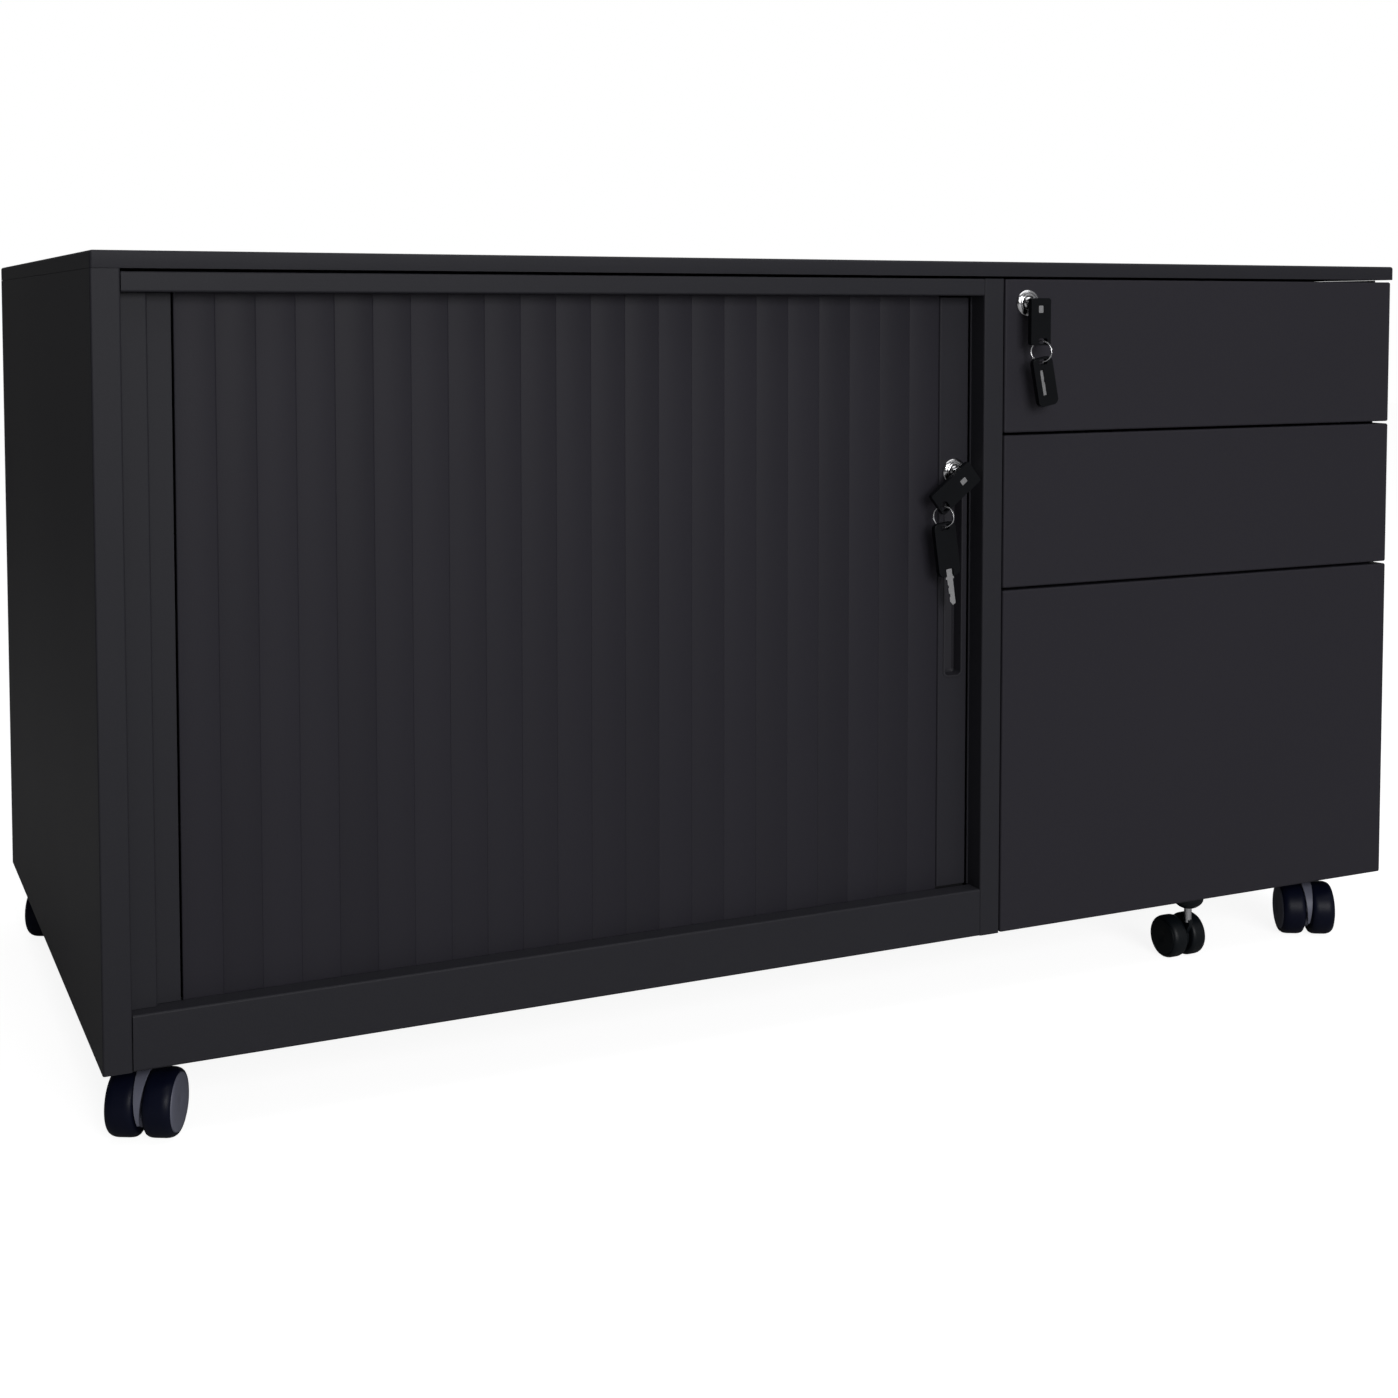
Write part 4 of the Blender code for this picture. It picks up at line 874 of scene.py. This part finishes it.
        # the blade lies folded in a groove along the face
        groove = round_corners((0.0060, -0.0044), (end - 0.0090, -0.0008), 0.0010)
        carve_at(second, draw_out(groove, "Y", -0.01, face + 0.0014), lean)
        blade = [
            (0.0068, -0.0037), (0.0100, -0.0041), (0.0200, -0.0041), (end - 0.0096, -0.0041),
            (end - 0.0096, -0.0011), (0.0180, -0.0011), (0.0165, -0.0017), (0.0140, -0.0012), (0.0068, -0.0016),
        ]
        depth = (face + 0.0004, face + 0.0014)
    finish_piece(
        f"{name}_spare_blade", draw_out(blade, "Y", *depth), ring_steel,
        f"{short}_spare", (), turn=lean,
    )


SPARE_EYE = (0.0024, 0.0046, 0.0020)
SPARE_EYE_INSET = 0.0038
lock_and_keys(
    "tambour", "door", math.radians(142), head=(0.0470, 0.0210, 0.0085, 0.0048),
    eye=(0.0055, 0.0055, 0.0040, 0.0040, 0.0030), spare=(0.0460, 0.0210),
    spare_tilt=math.radians(82), open_blade=True,
)
lock_and_keys(
    "drawer", "drawer", math.radians(90), head=(0.0405, 0.0200, 0.0040, 0.0018),
    eye=(0.0038, 0.0078, 0.0024, 0.0046, 0.0020), spare=(0.0420, 0.0200),
    spare_tilt=math.radians(79), open_blade=False,
)


# ---------------------------------------------------------------- drawers
# Each drawer is a pan of 1.2 mm steel screwed to a folded front without a handle:
# it is pulled by the edge of its front. The lowest takes hanging files.
# The three fronts share one powder coat; its tone is stepped slightly darker from the top drawer down to the
# file drawer, as painted shade.
front_paints = {
    "top": powder_coat("top_front_coat", (0.0300, 0.0285, 0.0360), 0.50),
    "middle": powder_coat("middle_front_coat", (0.0295, 0.0280, 0.0355), 0.50),
    "file": powder_coat("file_front_coat", (0.0288, 0.0273, 0.0348), 0.50),
}
FRONT_BEND = 0.0018
for name, coat in front_paints.items():
    finish_piece(
        f"{name}_front", pressed_box(*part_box(f"{name}_drawer_front"), 1, 1, FRONT_BEND), coat,
        f"{name}_drawer", [f"{name}_drawer_front"], CAP_SHEET,
    )
    finish_piece(
        f"{name}_tray", pressed_box(*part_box(f"{name}_drawer_tray"), 2, 1, BEND), body_paint,
        f"{name}_drawer", [f"{name}_drawer_tray"], CAP_SHEET,
    )


# ---------------------------------------------------------------- runners, lock bar and bolt
# Zinc-plated strip steel, rolled and pierced, and left bare. None of it shows
# until a drawer is pulled out.
def zinc_plate():
    paint = Paint("zinc_plate", 0.35, metallic=1.0)
    spangle = paint.node("ShaderNodeTexVoronoi", {}, {"Vector": paint.place(), "Scale": 260.0}, "Color")
    tone = paint.axis(spangle, 0) * 0.5 + paint.noise(60.0, 3.0) * 0.5
    return paint.feed(
        colour=paint.mix(tone, (0.46, 0.47, 0.49), (0.66, 0.67, 0.69)),
        roughness=0.26 + tone * 0.18,
    )


zinc = zinc_plate()
bare_nodes = ["left_runner_frame", "right_runner_frame", "lock_bar", "tambour_bolt"]
bare_nodes += [f"{name}_{side}_slide" for name in front_paints for side in ("left", "right")]
for node in bare_nodes:
    frame["nodes"][node].data.materials.clear()
    frame["nodes"][node].data.materials.append(zinc)


# ---------------------------------------------------------------- corner castors
# Twin-wheel castors: two barrel-shaped nylon wheels, a grey disc in each hub, and
# a grey hood moulded round the axle and the steel stem that screws into the base.
tread_plastic = moulded("tread_plastic", (0.0036, 0.0048, 0.0150), 0.40, 700.0, specular=0.15)
hub_plastic = moulded("hub_plastic", (0.150, 0.155, 0.205), 0.45, 900.0)
CASTOR_TURN = math.radians(-28)
WEDGE_START = -26
WEB_HALF = 0.0020
WHEEL_GAP = 0.0007
BORE_RADIUS = 0.0031
PIN_RADIUS = 0.0028
STEM_HEIGHT = 0.060


def wheel_sections(radius, width):
    """(tread, hub) profiles as (radius, distance from the middle of the castor)."""
    inner = WEB_HALF + WHEEL_GAP
    # shares of the wheel's radius and of its width
    tread = [
        (0.80, 0.0), (0.89, 0.025), (0.945, 0.065), (0.975, 0.12), (0.993, 0.20), (1.0, 0.30),
        (1.0, 0.66), (0.990, 0.76), (0.965, 0.85), (0.925, 0.92), (0.885, 0.955),
        (0.862, 0.94), (0.857, 0.80),
    ]
    hub = [
        (0.0, 0.78), (0.853, 0.78), (0.853, 0.93), (0.838, 0.965), (0.790, 0.99), (0.60, 1.0),
        (0.30, 1.0), (0.24, 0.975), (0.0, 0.97),
    ]
    bore = [(BORE_RADIUS, inner + width * 0.80), (BORE_RADIUS, inner)]
    tread = [(radius * r, inner + width * along) for r, along in tread]
    hub = [(radius * r, inner + width * along) for r, along in hub]
    return bore[1:] + tread + bore[:1], hub


def castor(name, stem, turn, radius, width, trail, tread_coat, hub_coat):
    """stem is the point of the swivel axis on the underside of the body."""
    where = Matrix.Translation(stem) @ Matrix.Rotation(turn, 4, "Z")
    axle = Vector((0.0, -trail, radius - stem.z))
    tread, hub = wheel_sections(radius, width)
    for side, word in ((-1, "left"), (1, "right")):
        node = f"{name}_{word}_wheel"
        rim = lathe([(r, side * along) for r, along in tread], axle, "X", 56)
        finish_piece(f"{node}_tread", rim, tread_coat, node, [node], turn=where)
        disc = lathe([(r, side * along) for r, along in hub], axle, "X", 56)
        finish_piece(f"{node}_hub", disc, hub_coat, node, (), turn=where)
    return where, axle


def web_section(axle, radius, crown):
    """The side view of the plate between two wheels: round under the axle, with a crown above it."""
    turns = [math.radians(200 + 15 * k) for k in range(13)]
    reach = 0.72 * radius
    return [(axle.y + reach * math.cos(a), axle.z + reach * math.sin(a)) for a in turns] + crown


def axle_pin(axle, half_length):
    """The steel pin's moulded boss, along the axle."""
    ends = [(0, -half_length), (PIN_RADIUS, -half_length), (PIN_RADIUS, half_length), (0, half_length)]
    return lathe(ends, axle, "X", 20)


stems = {
    word: joint_place(f"swivel_{word}") for word in ("front_left", "front_right", "rear_left", "rear_right")
}
for word, stem in stems.items():
    radius, width, trail = 0.0250, 0.0225, 0.0180
    stem = Vector((stem.x, stem.y, STEM_HEIGHT))
    where, axle = castor(
        f"{word}_castor", stem, CASTOR_TURN, radius, width, trail, tread_plastic, hub_plastic,
    )
    # the hood is a web between the wheels, and spreads over their tops towards the stem
    crown = [(0.0058, axle.z + 0.0180), (0.0058, -0.0065), (-0.0058, -0.0065), (-0.0100, -0.0090)]
    web = draw_out(web_section(axle, radius, crown), "X", -WEB_HALF, WEB_HALF)
    hood = finish_piece(
        f"{word}_castor_hood", web, hub_plastic,
        f"{word}_castor", [f"{word}_castor_fork"], turn=where,
    )
    collar = [
        (0, -0.0130), (0.0050, -0.0130), (0.0075, -0.0085), (0.0082, -0.0065), (0.0082, -0.0028),
        (0.0070, -0.0016), (0.0055, -0.0012), (0.0055, 0.0170), (0, 0.0170),
    ]
    carve_at(hood, lathe(collar, axis="Z", segments=32), where, "UNION")
    carve_at(hood, axle_pin(axle, 0.0140), where, "UNION")
    # the wedge that fills the opening between the treads, and widens from in front up and over the top
    wedge = [(0.70, 0.8), (0.90, 0.9), (0.975, 1.3), (1.04, 2.2), (1.06, 2.0)]
    loops = []
    for k in range(23):
        angle = math.radians(WEDGE_START + 8 * k)
        rise = min(0.08 * k, 1.0)
        spread = 0.0004 + 0.0018 * rise
        reach = 0.86 + 0.14 * rise
        ring = [(r * reach * radius, share * spread) for r, share in wedge]
        ring += [(r, -half) for r, half in ring[::-1]]
        loops.append([(x, axle.y - r * math.cos(angle), axle.z + r * math.sin(angle)) for r, x in ring])
    finish_piece(
        f"{word}_castor_wedge", skin(loops), hub_plastic, f"{word}_castor", (), turn=where,
    )


# ---------------------------------------------------------------- file drawer castor
# A small black twin-wheel castor under the lowest front keeps the full drawer from
# tipping the cabinet. Its steel pin turns in a moulded dome.
castor_black = moulded("castor_black", (0.0042, 0.0062, 0.0085), 0.42, 900.0, specular=0.25)
low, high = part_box("file_castor_mount")
dome_radius = (high.x - low.x) / 2
dome_centre = ((low.x + high.x) / 2, (low.y + high.y) / 2, 0.0)
dome_profile = [
    (0, high.z), (dome_radius, high.z), (dome_radius, high.z - 0.0024),
    (dome_radius * 0.975, high.z - 0.0040), (dome_radius * 0.90, high.z - 0.0058),
    (dome_radius * 0.78, high.z - 0.0075), (dome_radius * 0.62, high.z - 0.0092),
    (dome_radius * 0.46, high.z - 0.0103), (0.0052, low.z), (0.0038, low.z), (0.0038, high.z - 0.0026),
    (0, high.z - 0.0026),
]
finish_piece(
    "file_castor_dome", lathe(dome_profile, dome_centre, "Z"), castor_black,
    "file_drawer", ["file_castor_mount"],
)
stem = joint_place("swivel_file")
stem = Vector((stem.x, stem.y, STEM_HEIGHT))
radius, width, trail = 0.0195, 0.0160, 0.0140
where, axle = castor(
    "file_castor", stem, math.pi, radius, width, trail, castor_black, castor_black,
)
crown = [(0.0045, axle.z + 0.0140), (0.0045, axle.z + 0.0185), (-0.0045, axle.z + 0.0185)]
fork = finish_piece(
    "file_castor_web", draw_out(web_section(axle, radius, crown), "X", -WEB_HALF, WEB_HALF), castor_black,
    "file_castor", ["file_castor_fork"], turn=where,
)
carve_at(fork, axle_pin(axle, 0.0118), where, "UNION")
ROD_RADIUS = 0.0035
rod_foot, rod_head = axle.z + 0.0160, -0.0035
rod_line = [(0, rod_foot), (ROD_RADIUS, rod_foot), (ROD_RADIUS, rod_head), (0, rod_head)]
rod = lathe(rod_line, axis="Z", segments=28)
finish_piece("file_castor_rod", rod, ring_steel, "file_castor", (), turn=where)


# ---------------------------------------------------------------- floor finish
# A pale matt floor that glows white to the camera, so that only faint shadows show.
floor_paint = Paint("white_floor", 0.85)
floor_tone = floor_paint.noise(0.8, 2.0)
floor_mesh.materials.append(floor_paint.feed(
    colour=floor_paint.mix(floor_tone, (0.42, 0.42, 0.42), (0.46, 0.46, 0.46)),
))
glow = floor_paint.node("ShaderNodeLightPath") * 0.90
floor_paint.shader.inputs["Emission Color"].default_value = (1.0, 1.0, 1.0, 1.0)
floor_paint.tree.links.new(glow.socket, floor_paint.shader.inputs["Emission Strength"])
